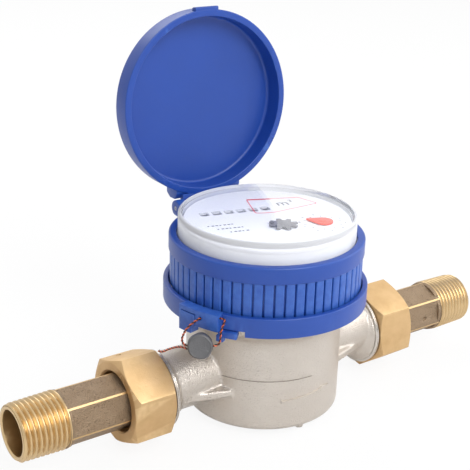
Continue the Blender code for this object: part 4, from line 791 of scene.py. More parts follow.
def thread_tree():
    """A pipe thread: a sleeve whose radius rises and falls along a helix."""
    tree, sockets, start, end = new_tree("pipe thread", [
        ("Radius", "NodeSocketFloat", 0.010), ("Depth", "NodeSocketFloat", 0.001),
        ("Pitch", "NodeSocketFloat", 0.0018), ("Length", "NodeSocketFloat", 0.017),
        ("Taper", "NodeSocketFloat", 0.0), ("Lead In", "NodeSocketFloat", 0.001),
        ("Rings", "NodeSocketInt", 110), ("Round", "NodeSocketInt", 97),
        ("Material", "NodeSocketMaterial", None),
    ])
    given = start.outputs
    grid = tree.nodes.new("GeometryNodeMeshGrid")
    grid.inputs["Size X"].default_value = 1.0
    grid.inputs["Size Y"].default_value = 1.0
    tree.links.new(given["Round"], grid.inputs["Vertices X"])
    tree.links.new(given["Rings"], grid.inputs["Vertices Y"])
    flat = split_up(tree, tree.nodes.new("GeometryNodeInputPosition").outputs[0])
    share = maths(tree, "ADD", flat["X"], 0.5)
    along = maths(tree, "MULTIPLY", maths(tree, "ADD", flat["Y"], 0.5), given["Length"])

    # A saw wave along the helix is folded to a vee, and its tips are rounded
    phase = maths(tree, "SUBTRACT", maths(tree, "DIVIDE", along, given["Pitch"]), share)
    saw = maths(tree, "FRACT", maths(tree, "ADD", phase, 40.0))
    vee = maths(tree, "ABSOLUTE", maths(tree, "SUBTRACT", maths(tree, "MULTIPLY", saw, 2.0), 1.0))
    groove = maths(tree, "SMOOTH_MIN", vee, THREAD_TIP)
    groove.node.inputs[2].default_value = THREAD_ROUNDING
    drop = maths(tree, "MULTIPLY", maths(tree, "SUBTRACT", THREAD_LEVEL, groove), given["Depth"])
    taper = maths(tree, "MULTIPLY", along, given["Taper"])
    radius = maths(tree, "SUBTRACT", maths(tree, "SUBTRACT", given["Radius"], drop), taper)

    # The free end is chamfered over the length of the lead in
    left = maths(tree, "SUBTRACT", given["Length"], along)
    lead = maths(tree, "MINIMUM", maths(tree, "DIVIDE", left, given["Lead In"]), 1.0)
    chamfer = maths(tree, "MULTIPLY", maths(tree, "SUBTRACT", 1.0, lead), given["Lead In"])
    radius = maths(tree, "MINIMUM", radius, maths(tree, "SUBTRACT", given["Radius"], chamfer))

    angle = maths(tree, "MULTIPLY", share, math.tau)
    across = maths(tree, "MULTIPLY", radius, maths(tree, "COSINE", angle))
    over = maths(tree, "MULTIPLY", radius, maths(tree, "SINE", angle))
    weld = tree.nodes.new("GeometryNodeMergeByDistance")
    weld.inputs["Distance"].default_value = 1e-6
    sleeve = set_place(tree, grid.outputs["Mesh"], put_together(tree, across, over, along))
    tree.links.new(sleeve, weld.inputs["Geometry"])
    finish_tree(tree, start, end, weld.outputs[0])
    return tree, sockets


def run_tree(name, made_tree, values, finish, matrix=None, sharp=40.0):
    """Runs a tree on an empty mesh and returns its result as a plain mesh object."""
    tree, sockets = made_tree
    holder = new_object(name + "_holder", bpy.data.meshes.new(name + "_holder"))
    step = holder.modifiers.new("tree", "NODES")
    step.node_group = tree
    for label, value in values.items():
        step[sockets[label]] = value
    step[sockets["Material"]] = finish
    made = settled(holder, name)
    bpy.data.objects.remove(holder, do_unlink=True)
    made.data.set_sharp_from_angle(angle=math.radians(sharp))
    if matrix is not None:
        made.data.transform(matrix)
    return made


RIBS = ring_of_ribs_tree()
THREAD = thread_tree()


# The cast body


def gusset(side):
    """The web along a neck: its top falls slightly from beside the neck to the outer edges."""
    bm = bmesh.new()
    rings = []
    for x, spread, inner, top in ((24.0, 15.8, 10.8, 18.9), (45.5, 8.8, 8.0, 18.0)):
        outline = (
            (-spread, WEB_LOW), (spread, WEB_LOW), (spread, WEB_EDGE), (inner, top), (-inner, top),
            (-spread, WEB_EDGE),
        )
        rings.append([bm.verts.new((side * x, y, z)) for y, z in outline])
    for index in range(6):
        after = (index + 1) % 6
        bm.faces.new((rings[0][index], rings[0][after], rings[1][after], rings[1][index]))
    bm.faces.new(rings[0])
    bm.faces.new(list(reversed(rings[1])))
    bmesh.ops.recalc_face_normals(bm, faces=bm.faces[:])
    return bm


def make_body():
    """The drum, its necks, flares and webs and the nub in its foot, blended as a casting is."""
    drum = softened([
        (0.0, 0.0), (21.0, 0.0, 0.5), (21.0, 2.2, 0.4), (29.0, 2.2, 2.2), (29.0, 37.4, 9.0),
        (35.6, 43.4, 3.0), (35.6, 49.0, 0.4), (32.2, 49.0), (32.2, 50.9), (0.0, 50.9),
    ], 6)
    parts = [turned(drum, 180)]
    for side in (-1, 1):
        neck = turned([(0.0, 18.0), (11.2, 18.0), (11.2, 45.5), (0.0, 45.5)], 72)
        parts.append(moved(neck, Matrix.Translation((0.0, 0.0, 1.8)) @ along_pipe(side)))
        flare = turned(softened([
            (0.0, 38.0), (8.6, 38.0), (10.9, 43.2, 2.0), (13.4, 45.9, 0.2), (13.4, 46.8), (0.0, 46.8),
        ], 5), 96)
        parts.append(moved(flare, along_pipe(side)))
        parts.append(gusset(side))
    nub = turned([(0.0, 0.4), (1.5, 0.4), (1.8, 0.7), (1.8, 5.0), (0.0, 5.0)], 24)
    parts.append(moved(nub, Matrix.Translation(polar(25.1, -93.0))))
    cast = build("body_cast_rough", joined(*parts), BODY_METAL, 180.0)
    grid = cast.modifiers.new("blend", "REMESH")
    grid.mode = "VOXEL"
    grid.voxel_size = CASTING_GRID
    soft = cast.modifiers.new("soften", "SMOOTH")
    soft.factor = 0.5
    soft.iterations = 2
    body = settled(cast, "body_cast")
    bpy.data.objects.remove(cast, do_unlink=True)
    body.data.materials.clear()
    body.data.materials.append(BODY_METAL)
    body.data.shade_smooth()
    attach(body, "meter")
    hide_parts("body_casting")


def strip_on_drum(stations, radius_low, radius_high):
    """A band laid round the drum; a station is (turn, middle height, half height)."""
    bm = bmesh.new()
    rings = []
    for turn, middle, half in stations:
        corners = (
            polar(radius_low, turn, middle - half), polar(radius_high, turn, middle - 0.6 * half),
            polar(radius_high, turn, middle + 0.6 * half), polar(radius_low, turn, middle + half),
        )
        rings.append([bm.verts.new(corner) for corner in corners])
    for ring, after in zip(rings, rings[1:]):
        for index in range(4):
            beside = (index + 1) % 4
            bm.faces.new((ring[index], ring[beside], after[beside], after[index]))
    bm.faces.new(rings[0])
    bm.faces.new(list(reversed(rings[-1])))
    bmesh.ops.recalc_face_normals(bm, faces=bm.faces[:])
    return bm


def arrow_half_height(share):
    """How far the flow arrow reaches above and below its middle, from its tail to its tip."""
    if share > 0.80:
        return max(1.5 * (1.0 - share) / 0.20, 0.03)
    if share < 0.06:
        return 0.95 - 6.0 * share
    return 0.55


def make_cast_marks():
    """The flow arrow and the mould's parting line, raised on the drum; the parting line is coloured dark as
    painted shade.
    """
    shaft = []
    for step in range(ARROW_STEPS + 1):
        share = step / ARROW_STEPS
        turn = ARROW_START + ARROW_SWEEP * share
        shaft.append((turn, ARROW_TAIL_Z + ARROW_RISE * share, arrow_half_height(share)))
    line = []
    for step in range(SEAM_STEPS + 1):
        half = 0.16 if 0 < step < SEAM_STEPS else 0.02
        line.append((SEAM_START + SEAM_SWEEP * step / SEAM_STEPS, SEAM_Z, half))
    arrow = build("flow_arrow", strip_on_drum(shaft, 28.6, 29.5), BODY_METAL, 50.0)
    # Painted shade: the parting line is coloured dark
    parting = build("parting_line", strip_on_drum(line, 28.7, 29.15), SEAM_SHADE, 50.0)
    for thing in (arrow, parting):
        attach(thing, "meter")


def make_collars():
    """The turned collar and the threaded stub of each neck, and the body's threaded mouth."""
    for side, label in ((-1, "inlet"), (1, "outlet")):
        collar = turned(softened([
            (8.0, 45.9), (13.7, 45.9, 0.15), (14.2, 46.3, 0.1), (14.2, 46.6, 0.1), (13.95, 46.7),
            (13.95, 46.85), (14.2, 46.95, 0.1), (14.2, 47.3, 0.1), (12.1, 47.3), (12.1, 55.0, 0.3),
            (8.0, 55.0),
        ], 3), 128, closed=True)
        piece = build(label + "_collar", moved(collar, along_pipe(side)), TURNED_PIPE)
        thread = run_tree(label + "_body_thread", THREAD, {
            "Radius": 0.0132, "Depth": 0.0011, "Pitch": PIPE_PITCH, "Length": 0.0074, "Taper": 0.0,
            "Lead In": 0.0006, "Rings": 50, "Round": 73,
        }, TURNED_PIPE, thread_place(side, BODY_THREAD_START))
        for thing in (piece, thread):
            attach(thing, "meter")
    mouth = turned(softened([
        (27.3, 50.4), (31.4, 50.4), (31.4, 62.6, 0.5), (27.3, 62.6, 0.3),
    ], 3), 128, closed=True)
    piece = build("body_mouth", mouth, TURNED_MOUTH)
    thread = run_tree("mouth_thread", THREAD, {
        "Radius": 0.0324, "Depth": 0.0011, "Pitch": 0.0020, "Length": 0.0114, "Taper": 0.0,
        "Lead In": 0.0006, "Rings": 60, "Round": 121,
    }, TURNED_MOUTH, Matrix.Translation((0.0, 0.0, 0.0511)))
    for thing in (piece, thread):
        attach(thing, "meter")


# The blue ring, lid and seal band


def ear_outline(reach):
    """The side view of a hinge ear, in (away from the ring, up)."""
    points = [(reach, 64.6)]
    for step in range(13):
        angle = math.radians(-62.0 + 192.0 * step / 12)
        points.append((HINGE_REACH + EAR_R * math.cos(angle), HINGE_Z + EAR_R * math.sin(angle)))
    points.append((reach, 68.3))
    return points


def along_hinge(outline, start, end):
    """A side view drawn out along the hinge."""
    upright = Matrix(((0, 0, 1, 0), (1, 0, 0, 0), (0, 1, 0, 0), (0, 0, 0, 1)))
    return moved(raised(outline, start, end), hinge_frame() @ upright)


def make_ring():
    """The locking ring: a smooth band over a ribbed grip, with its hinge ears."""
    outline = softened([
        (RING_BORE_R, RING_SKIRT_Z, 0.2), (RING_ROOT_R, RING_SKIRT_Z, 0.35),
        (RING_ROOT_R, RING_BAND_Z - 0.4, 0.5),
        (RING_R, RING_BAND_Z, 0.3), (RING_R, RING_TOP, 0.8), (LIP_INNER_R, RING_TOP, 0.4),
        (LIP_INNER_R, LIP_Z), (RING_CAVITY_R, LIP_Z), (RING_CAVITY_R, 62.6), (RING_BORE_R, 62.6),
    ], 4)
    ring = build("ring_band", turned(outline, 240, closed=True), BLUE, 40.0)
    ribs = run_tree("ring_grip_ribs", RIBS, {
        "Count": RIB_COUNT, "Circle Radius": 0.0342, "Half Width": 0.00157, "Relief": 0.00125,
        "Height": 0.0127, "Turn": math.radians(0.6), "Sides": 40, "Squareness": 0.36,
    }, BLUE, Matrix.Translation((0.0, 0.0, 0.0565)))
    ear_outer = EAR_INNER + EAR_WIDTH
    reach = math.sqrt(EAR_SEAT_R ** 2 - ear_outer ** 2) - 0.6
    ears = []
    for side in (-1, 1):
        start, end = sorted((side * EAR_INNER, side * ear_outer))
        ears.append(along_hinge(ear_outline(reach), start, end))
    lugs = build("ring_hinge_ears", joined(*ears), BLUE)
    bore = moved(raised(circle(HINGE_BORE_R, 32), -18.0, 18.0), pin_line())
    lugs = carved(lugs, [(bore, "DIFFERENCE")], 35.0, 0.35)
    pin = turned(softened([
        (0.0, -PIN_HALF), (PIN_R, -PIN_HALF, 0.3), (PIN_R, PIN_HALF, 0.3), (0.0, PIN_HALF),
    ], 3), 32)
    rod = build("hinge_pin_rod", moved(pin, pin_line()), STEEL)
    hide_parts("locking_ring")
    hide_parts("hinge_pin")
    for thing in (ring, ribs, lugs):
        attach(thing, "meter")
    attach(rod, "meter")


def lid_swing():
    """Turns what is drawn on the shut lid to where the open lid stands."""
    axis = Vector((-math.sin(math.radians(HINGE_TURN)), math.cos(math.radians(HINGE_TURN)), 0.0))
    place = polar(HINGE_REACH, HINGE_TURN, HINGE_Z)
    turn = Matrix.Rotation(math.radians(LID_OPEN), 4, axis)
    return Matrix.Translation(place) @ turn @ Matrix.Translation(-place)


def make_lid():
    """The lid: a shallow cup with a finger tab, snap nubs, knuckle, strap and shoulder."""
    swing = lid_swing()
    outline = softened([
        (0.0, LID_FLOOR_Z), (LID_INNER_R - 0.2, LID_FLOOR_Z, 1.2), (LID_INNER_R, LID_RIM_Z, 0.35),
        (LID_R, LID_RIM_Z, 0.4), (LID_R - 0.25, LID_TOP_Z, 1.5), (0.0, LID_TOP_Z),
    ], 6)
    cup = build("lid_cup", moved(turned(outline, 200), swing), BLUE, 40.0)
    low = LID_RIM_Z + 0.1
    high = LID_RIM_Z + 3.0
    root = 1.4 - LID_R
    tab = softened([
        (-LID_R - 1.1, low, 0.5), (root, low), (root, high), (-LID_R - 0.8, high, 0.9),
    ], 4)
    grip = build("lid_tab", moved(along_hinge(tab, -TAB_HALF, TAB_HALF), swing), BLUE)
    grip = carved(grip, [], 35.0, 0.45)

    knuckle = moved(raised(circle(KNUCKLE_R, 48), -KNUCKLE_HALF, KNUCKLE_HALF), pin_line())
    hinge = build("lid_hinge_barrel", moved(knuckle, swing), BLUE)
    strap = [(STRAP_ROOT, low), (HINGE_REACH, low), (HINGE_REACH, HINGE_Z + 2.6), (STRAP_ROOT, high)]
    strap_half = KNUCKLE_HALF - 0.1
    shoulder = softened([
        (31.0, 69.9), (33.8, 69.9, 0.5), (36.3, 71.4, 0.6), (36.3, 75.2, 0.8), (34.6, 77.6, 0.8),
        (31.0, 77.6),
    ], 3)
    room = turned([(0.0, 60.0), (33.6, 60.0), (33.6, 85.0), (0.0, 85.0)], 120)
    bore = moved(raised(circle(HINGE_BORE_R, 32), -16.0, 16.0), pin_line())
    hinge = carved(hinge, [
        (moved(along_hinge(strap, -strap_half, strap_half), swing), "UNION"),
        (moved(along_hinge(shoulder, -SHOULDER_HALF, SHOULDER_HALF), swing), "UNION"),
        (moved(room, swing), "DIFFERENCE"),
        (moved(bore, swing), "DIFFERENCE"),
    ], 35.0, 0.25)

    nubs = []
    for turn in SNAP_TURNS:
        nub = bmesh.new()
        bmesh.ops.create_uvsphere(nub, u_segments=16, v_segments=10, radius=0.55)
        place = Matrix.Translation(polar(SNAP_R, HINGE_TURN + 90.0 + turn, LID_RIM_Z + 1.3))
        nubs.append(moved(nub, swing @ place))
    snaps = build("lid_snap_nubs", joined(*nubs), BLUE)
    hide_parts("lid")
    for thing in (cup, grip, hinge, snaps):
        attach(thing, "lid")


def make_band():
    """The seal band: a hoop with a notch, a boxed clasp, its tongue and its tab."""
    hoop = turned(softened([
        (BAND_INNER_R, BAND_Z, 0.2), (BAND_R, BAND_Z, 0.35), (BAND_R, BAND_TOP, 0.45),
        (BAND_INNER_R, BAND_TOP, 0.2),
    ], 4), 240, closed=True)
    band = build("band_hoop", hoop, BLUE)
    notch = sector(BAND_INNER_R - 1.0, BAND_R + 1.0, 218.8, 222.7, BAND_Z - 1.0, 45.8)
    slit = sector(BAND_R - 0.5, BAND_R + 1.0, 209.0, 218.0, 45.4, 45.8)
    band = carved(band, [(notch, "DIFFERENCE"), (slit, "DIFFERENCE")], 38.0)

    box = build("band_clasp_box", sector(CLASP_INNER_R, 41.0, 186.1, 209.8, 45.6, 51.6), BLUE)
    low = sector(CLASP_INNER_R, 40.95, 186.1, 194.3, 42.2, 46.2)
    flat_slit = sector(40.2, 42.0, 187.3, 196.9, 49.55, 49.95)
    stand_slit = sector(40.2, 42.0, 196.6, 197.1, 45.0, 49.95)
    outwards = Matrix.Rotation(math.radians(200.0), 4, "Z") @ Matrix.Rotation(math.pi / 2, 4, "Y")
    wire_hole = moved(
        raised(circle(0.62, 20), 38.8, 43.0), Matrix.Translation((0.0, 0.0, 49.0)) @ outwards,
    )
    box = carved(box, [
        (low, "UNION"), (flat_slit, "DIFFERENCE"), (stand_slit, "DIFFERENCE"), (wire_hole, "DIFFERENCE"),
    ], 30.0, 0.16)

    tongue = build("band_tongue", sector(CLASP_INNER_R, 39.3, 209.0, 218.8, 43.1, 45.3), BLUE)
    tab = sector(CLASP_INNER_R, 39.2, 207.9, 211.6, 41.3, 43.6)
    tongue = carved(tongue, [(tab, "UNION")], 30.0, 0.18)
    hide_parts("seal_band")
    for thing in (band, box, tongue):
        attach(thing, "meter")


# Unions


def make_union(side, label, nut_turn, tail_turn):
    """A union nut with its chamfers, and the tailpiece with its thread."""
    pipe = along_pipe(side)
    nut = build(label + "_nut", moved(raised(hexagon(NUT_ACROSS, nut_turn), 47.8, 64.4), pipe), NUT_BRASS)
    rounding = turned([
        (0.0, 46.3), (11.72, 46.3), (16.95, 49.3), (16.95, 62.9), (11.72, 65.9), (0.0, 65.9),
    ], 144)
    bore = turned(softened([
        (0.0, 46.0), (13.5, 46.0), (13.5, 60.4), (10.95, 60.4, 0.2), (10.95, 63.8), (12.15, 65.0),
        (0.0, 65.0),
    ], 4), 144)
    tools = [(moved(rounding, pipe), "INTERSECT"), (moved(bore, pipe), "DIFFERENCE")]
    if side < 0:
        lean = Matrix.Rotation(math.radians(SEAL_HOLE_LEAN), 4, "X")
        hole = moved(raised(circle(1.0, 20), -5.0, 5.0), Matrix.Translation(SEAL_HOLE_PLACE) @ lean)
        tools.append((hole, "DIFFERENCE"))
    nut = carved(nut, tools, 22.0, 0.22)
    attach(nut, label + "_nut")
    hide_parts(label + "_union_nut")

    bar = raised(hexagon(TAIL_ACROSS, tail_turn), 58.6, TAIL_THREAD_START)
    bar = build(label + "_tail_bar", moved(bar, pipe), TAIL_BRASS)
    bright = turned([(0.0, 57.0), (10.33, 57.0), (10.33, 87.0), (0.0, 87.0)], 144)
    flange = turned(softened([(0.0, 57.1), (12.6, 57.1, 0.3), (12.6, 60.1, 0.3), (0.0, 60.1)], 3), 96)
    shoulder = turned(softened([(0.0, 84.9), (10.0, 84.9, 0.3), (10.3, 86.6), (0.0, 86.6)], 3), 144)
    bore = turned([(0.0, 55.0), (TAIL_BORE_R, 55.0), (TAIL_BORE_R, 90.0), (0.0, 90.0)], 96)
    tools = [
        (moved(bright, pipe), "INTERSECT"), (moved(flange, pipe), "UNION"),
        (moved(shoulder, pipe), "UNION"), (moved(bore, pipe), "DIFFERENCE"),
    ]
    if side > 0:
        pit = turned(softened([(0.0, -0.7), (0.7, -0.5), (1.5, 0.8), (0.0, 0.8)]), 7)
        lean = Matrix.Rotation(math.radians(PIT_LEAN), 4, "X")
        tools.append((moved(pit, Matrix.Translation(PIT_PLACE) @ lean), "DIFFERENCE"))
    bar = carved(bar, tools, 22.0, 0.12)
    thread = run_tree(label + "_tail_thread", THREAD, {
        "Radius": 0.01048, "Depth": 0.00116, "Pitch": PIPE_PITCH, "Length": 0.0170, "Taper": 0.018,
        "Lead In": 0.0010, "Rings": 150, "Round": 121,
    }, THREAD_BRASS, thread_place(side, TAIL_THREAD_START))
    sleeve = turned(softened([
        (TAIL_BORE_R, 86.0), (9.1, 86.0), (9.1, 103.0), (9.3, 103.15, 0.1), (9.3, 103.3, 0.1),
        (8.35, 103.3, 0.15), (TAIL_BORE_R, 102.9, 0.1),
    ], 3), 128, closed=True)
    inner = build(label + "_tail_sleeve", moved(sleeve, pipe), THREAD_BRASS)
    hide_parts(label + "_tailpiece")
    for thing in (bar, thread, inner):
        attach(thing, "meter")


# Dial, rollers and cover


def glyph(text, height):
    """A figure as a flat mesh, centred, in millimetres."""
    curve = bpy.data.curves.new("figure", "FONT")
    curve.body = text
    curve.size = 1.0
    curve.resolution_u = 3
    holder = new_object("figure", curve)
    bpy.context.view_layer.update()
    mesh = bpy.data.meshes.new_from_object(holder.evaluated_get(bpy.context.evaluated_depsgraph_get()))
    bpy.data.objects.remove(holder, do_unlink=True)
    bm = bmesh.new()
    bm.from_mesh(mesh)
    bpy.data.meshes.remove(mesh)
    xs = [vert.co.x for vert in bm.verts]
    ys = [vert.co.y for vert in bm.verts]
    size = height / (max(ys) - min(ys))
    middle = Vector(((max(xs) + min(xs)) / 2, (max(ys) + min(ys)) / 2, 0.0))
    for vert in bm.verts:
        vert.co = (vert.co - middle) * size
    return bm


def round_roller(figure):
    """Wraps a flat figure round a roller, whose axis lies along X."""
    for vert in figure.verts:
        angle = vert.co.y / ROLLER_R
        vert.co = Vector((vert.co.x * 0.95, ROLLER_R * math.sin(angle), ROLLER_R * math.cos(angle)))
    return figure


def make_rollers():
    """Number rollers: black drums with ten figures each, white or, on the last two, red."""
    axis = Matrix.Rotation(math.pi / 2, 4, "Y")
    figures = [round_roller(glyph(str(number), 1.75)) for number in range(10)]
    for place, u in enumerate(ROLLER_U):
        label = f"roller_{place + 1}"
        spot = dial_matrix(u, ROLLER_V, ROLLER_Z)
        drum = turned(softened([
            (1.0, -2.1), (ROLLER_R, -2.1, 0.15), (ROLLER_R, 2.1, 0.15), (1.0, 2.1),
        ], 3), 60, closed=True)
        roller = build(label + "_drum", moved(drum, spot @ axis), BLACK)
        prints = []
        for number, figure in enumerate(figures):
            turn = math.radians(36.0 * (number - int(READING[place])))
            lifted = Matrix.Rotation(turn, 4, "X") @ Matrix.Scale(1.004, 4)
            prints.append(moved(moved(figure.copy(), lifted), spot))
        figures_on = build(label + "_figures", joined(*prints), FIGURE if place < 4 else PRINT_RED)
        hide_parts(f"number_roller_{place + 1}")
        for thing in (roller, figures_on):
            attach(thing, label)
    for figure in figures:
        figure.free()


def frame_line(points, width):
    """A printed line that follows the given points and closes on itself."""
    bm = bmesh.new()
    count = len(points)
    inner = []
    outer = []
    for index in range(count):
        here = Vector(points[index])
        back = (here - Vector(points[index - 1])).normalized()
        ahead = (Vector(points[(index + 1) % count]) - here).normalized()
        side = Vector((-(back + ahead).y, (back + ahead).x)).normalized()
        reach = width / 2 / max(0.4, side.dot(Vector((-back.y, back.x))))
        inner.append(bm.verts.new((*(here + side * reach), 0.0)))
        outer.append(bm.verts.new((*(here - side * reach), 0.0)))
    for index in range(count):
        after = (index + 1) % count
        bm.faces.new((outer[index], outer[after], inner[after], inner[index]))
    return bm


def window_outline(u, half, radius):
    """A rounded square about one number window."""
    return softened([
        (u - half, ROLLER_V - half, radius), (u + half, ROLLER_V - half, radius),
        (u + half, ROLLER_V + half, radius), (u - half, ROLLER_V + half, radius),
    ], 3)


def printed_bar(left, right, low, high):
    """A short printed bar."""
    return raised([(left, low), (right, low), (right, high), (left, high)], 0.0, INK)


def scale_print():
    """The ten marks of the small round scale and those of its figures that fit on the dial."""
    made = []
    for index in range(10):
        turn = 90.0 - 36.0 * index
        place = dial_matrix(SCALE_U, SCALE_V, PRINT_Z) @ Matrix.Rotation(math.radians(turn), 4, "Z")
        made.append(moved(printed_bar(-0.14, 0.14, 6.1, 7.3), place))
        spot = polar(8.3, turn)
        u = SCALE_U + spot.x
        v = SCALE_V + spot.y
        if math.hypot(u, v) < 28.6:
            made.append(moved(thickened(glyph(str(index), 1.25), INK), dial_matrix(u, v, PRINT_Z)))
    return made


def dashes_print():
    """Three rows of short and longer dashes, where small print would be."""
    made = []
    for row, (start, end) in enumerate(((-24.0, -13.0), (-21.5, -11.0), (-18.0, -10.0))):
        for index in range(int((end - start) / 1.5)):
            u = start + index * 1.5
            dash = printed_bar(u, u + (1.0 if index % 3 else 0.6), -0.35, 0.35)
            made.append(moved(dash, dial_matrix(0.0, -3.0 - 3.6 * row, PRINT_Z)))
    return made


def make_dial():
    """The dial plate with its windows and plain print."""
    plate = build("dial_disc", turned(softened([
        (0.0, DIAL_Z), (30.3, DIAL_Z), (30.3, DIAL_TOP, 0.15), (0.0, DIAL_TOP),
    ], 3), 160), PAPER)
    windows = [moved(raised(window_outline(u, 1.45, 0.3), 71.0, 74.0), dial_matrix()) for u in ROLLER_U]
    plate = carved(plate, [(window, "DIFFERENCE") for window in windows], 35.0)
    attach(plate, "meter")
    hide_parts("dial_plate")

    face = dial_matrix(0.0, 0.0, PRINT_Z)
    grey = []
    for u in ROLLER_U:
        grey.append(moved(thickened(frame_line(window_outline(u, 1.6, 0.35), 0.14), INK), face))
    grey.append(moved(thickened(glyph("m", 3.1), INK), dial_matrix(10.9, 12.2, PRINT_Z)))
    grey.append(moved(thickened(glyph("3", 2.3), INK), dial_matrix(14.8, 14.6, PRINT_Z)))
    ink = build("dial_print", joined(*grey, *scale_print(), *dashes_print()), PRINT)
    red_line = frame_line(softened([
        (-2.6, 5.2, 1.0), (4.4, 4.4, 0.8), (24.0, 9.4, 0.8), (19.5, 17.6, 1.0), (-0.6, 20.0, 0.8),
    ], 4), 0.35)
    red_bar = raised([(-0.4, 19.4), (8.6, 18.2), (8.5, 19.4), (-0.5, 20.6)], 0.0, INK)
    red = [moved(thickened(red_line, INK), face), moved(red_bar, face)]
    red_ink = build("dial_print_red", joined(*red), PRINT_RED)
    for thing in (ink, red_ink):
        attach(thing, "meter")


def make_star():
    """The star wheel: eight points round a low hub."""
    place = dial_matrix(STAR_U, STAR_V, STAR_Z)
    points = []
    for index in range(8):
        middle = 45.0 * index
        for radius, offset in ((3.5, -14.5), (5.3, -8.5), (5.3, 8.5), (3.5, 14.5)):
            points.append(tuple(polar(radius, middle + offset))[:2])
    star = build("star_wheel", moved(raised(points, 0.0, 0.6), place), GREY)
    hub = turned(softened([(0.0, 0.0), (1.5, 0.0), (1.5, 0.68, 0.1), (0.0, 0.68)], 3), 32)
    star = carved(star, [(moved(hub, place), "UNION")], 30.0, 0.12)
    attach(star, "star")
    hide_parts("leak_star")


def make_pointer():
    """The red pointer: a round head that runs out to a narrow tip, with a cap."""
    outline = []
    for step in range(17):
        angle = math.radians(-128.0 + 256.0 * step / 16)
        outline.append((3.4 * math.cos(angle) + 0.5, 3.4 * math.sin(angle)))
    outline += [(-5.9, 0.45), (-6.1, 0.0), (-5.9, -0.45)]
    place = dial_matrix(SCALE_U, SCALE_V, STAR_Z)
    turn = Matrix.Rotation(math.radians(-39.0), 4, "Z")
    pointer = build("red_pointer", moved(raised(outline, 0.0, 0.5), place @ turn), RED)
    cap = turned(softened([(0.0, 0.0), (1.2, 0.0), (1.2, 0.62, 0.1), (0.0, 0.62)], 3), 32)
    pointer = carved(pointer, [(moved(cap, place), "UNION")], 30.0, 0.1)
    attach(pointer, "pointer")
    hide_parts("dial_pointer")


def make_cup_and_cover():
    """The white register cup and the clear cover over it, whose upright outer face gets a share of white
    diffuse: painted light in place of the light reflected inside the cover.
    """
    cup = turned(softened([
        (23.9, 45.3), (25.5, 43.3, 0.3), (25.5, 62.9), (34.3, 62.9), (34.3, 64.6), (30.9, 64.6),
        (30.9, 71.8, 0.25), (29.5, 71.8, 0.25), (29.5, 64.6), (23.9, 64.6),
    ], 3), 160, closed=True)
    holder = build("register_wall", cup, WHITE)
    floor = build("register_floor", turned([(0.0, 43.3), (25.4, 43.3), (25.4, 45.3), (0.0, 45.3)], 96), WHITE)
    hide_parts("register_cup")
    for thing in (holder, floor):
        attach(thing, "meter")
    outline = softened([
        (0.0, 74.1), (31.2, 74.1, 0.4), (31.2, 64.9, 0.1), (34.3, 64.9, 0.2), (34.3, 66.3, 0.2),
        (32.6, 66.3, 0.3), (32.6, 76.7, 1.2), (0.0, 76.7),
    ], 6)
    cover = build("cover_glass", turned(outline, 200), CLEAR, 40.0)
    # The upright outer face takes the white-mixed finish, painted light in place of the light reflected
    # inside the cover
    cover.data.materials.append(COVER_SIDE_PAINTED_LIGHT)
    for polygon in cover.data.polygons:
        middle = polygon.center / METRE
        if math.hypot(middle.x, middle.y) > 31.35 and middle.z > 66.0:
            polygon.material_index = 1
    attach(cover, "meter")
    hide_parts("clear_cover")


# Lead seal and wire


def smooth_route(knots, steps):
    """Points along a smooth curve through the given knots."""
    knots = [Vector(knot) for knot in knots]
    ends = [2 * knots[0] - knots[1]] + knots + [2 * knots[-1] - knots[-2]]
    points = []
    for index in range(len(knots) - 1):
        a, b, c, d = ends[index:index + 4]
        for step in range(steps):
            t = step / steps
            points.append(0.5 * ((2 * b) + (c - a) * t + (2 * a - 5 * b + 4 * c - d) * t ** 2
                                 + (3 * b - a - 3 * c + d) * t ** 3))
    return points + [knots[-1]]


def route_frames(points):
    """Two directions across a route at each of its points, carried along without a twist."""
    last = len(points) - 1
    tangents = [
        (points[min(last, index + 1)] - points[max(0, index - 1)]).normalized()
        for index in range(len(points))
    ]
    side = tangents[0].orthogonal().normalized()
    frames = []
    for tangent in tangents:
        side = (side - tangent * side.dot(tangent)).normalized()
        frames.append((side, tangent.cross(side)))
    return frames


def twisted_wire(name, route):
    """Two strands twisted round a route, each swept as a round tube."""
    points = smooth_route(route, 10)
    frames = route_frames(points)
    bm = bmesh.new()
    for phase in (0.0, math.pi):
        run = 0.0
        rings = []
        for index, (point, (across, over)) in enumerate(zip(points, frames)):
            if index:
                run += (point - points[index - 1]).length
            angle = phase + math.tau * run / WIRE_LAY
            middle = point + (across * math.cos(angle) + over * math.sin(angle)) * STRAND_R
            ring = []
            for corner in range(8):
                spoke = math.tau * corner / 8
                outward = across * math.cos(spoke) + over * math.sin(spoke)
                ring.append(bm.verts.new(middle + outward * STRAND_R))
            rings.append(ring)
        for ring, after in zip(rings, rings[1:]):
            for corner in range(8):
                beside = (corner + 1) % 8
                bm.faces.new((ring[corner], ring[beside], after[beside], after[corner]))
        bm.faces.new(list(reversed(rings[0])))
        bm.faces.new(rings[-1])
    bmesh.ops.recalc_face_normals(bm, faces=bm.faces[:])
    bmesh.ops.scale(bm, vec=(1.0 / METRE, 1.0 / METRE, 1.0 / METRE), verts=bm.verts[:])
    half = len(bm.faces) // 2
    for index, face in enumerate(bm.faces):
        face.material_index = 0 if index < half else 1
    wire = build(name, bm, COPPER)
    wire.data.materials.append(DARK_STRAND)
    return wire, points


def pressed_disc():
    """The seal's disc, whose rim and faces the pliers have left uneven."""
    disc = turned(softened([
        (0.0, -2.1), (3.5, -2.1, 0.1), (3.7, -2.3, 0.2), (4.35, -1.7, 0.5), (4.35, 1.7, 0.5),
        (3.7, 2.3, 0.2), (3.5, 2.1, 0.1), (0.0, 2.1),
    ], 3), 48)
    for vert in disc.verts:
        turn = math.atan2(vert.co.y, vert.co.x)
        swell = 1.0 + 0.018 * math.sin(5.0 * turn + 0.7) - 0.012 * math.cos(3.0 * turn)
        vert.co.x *= swell
        vert.co.y *= swell
        vert.co.z += 0.05 * math.sin(1.3 * vert.co.x + 0.8) * math.cos(1.1 * vert.co.y)
    return disc


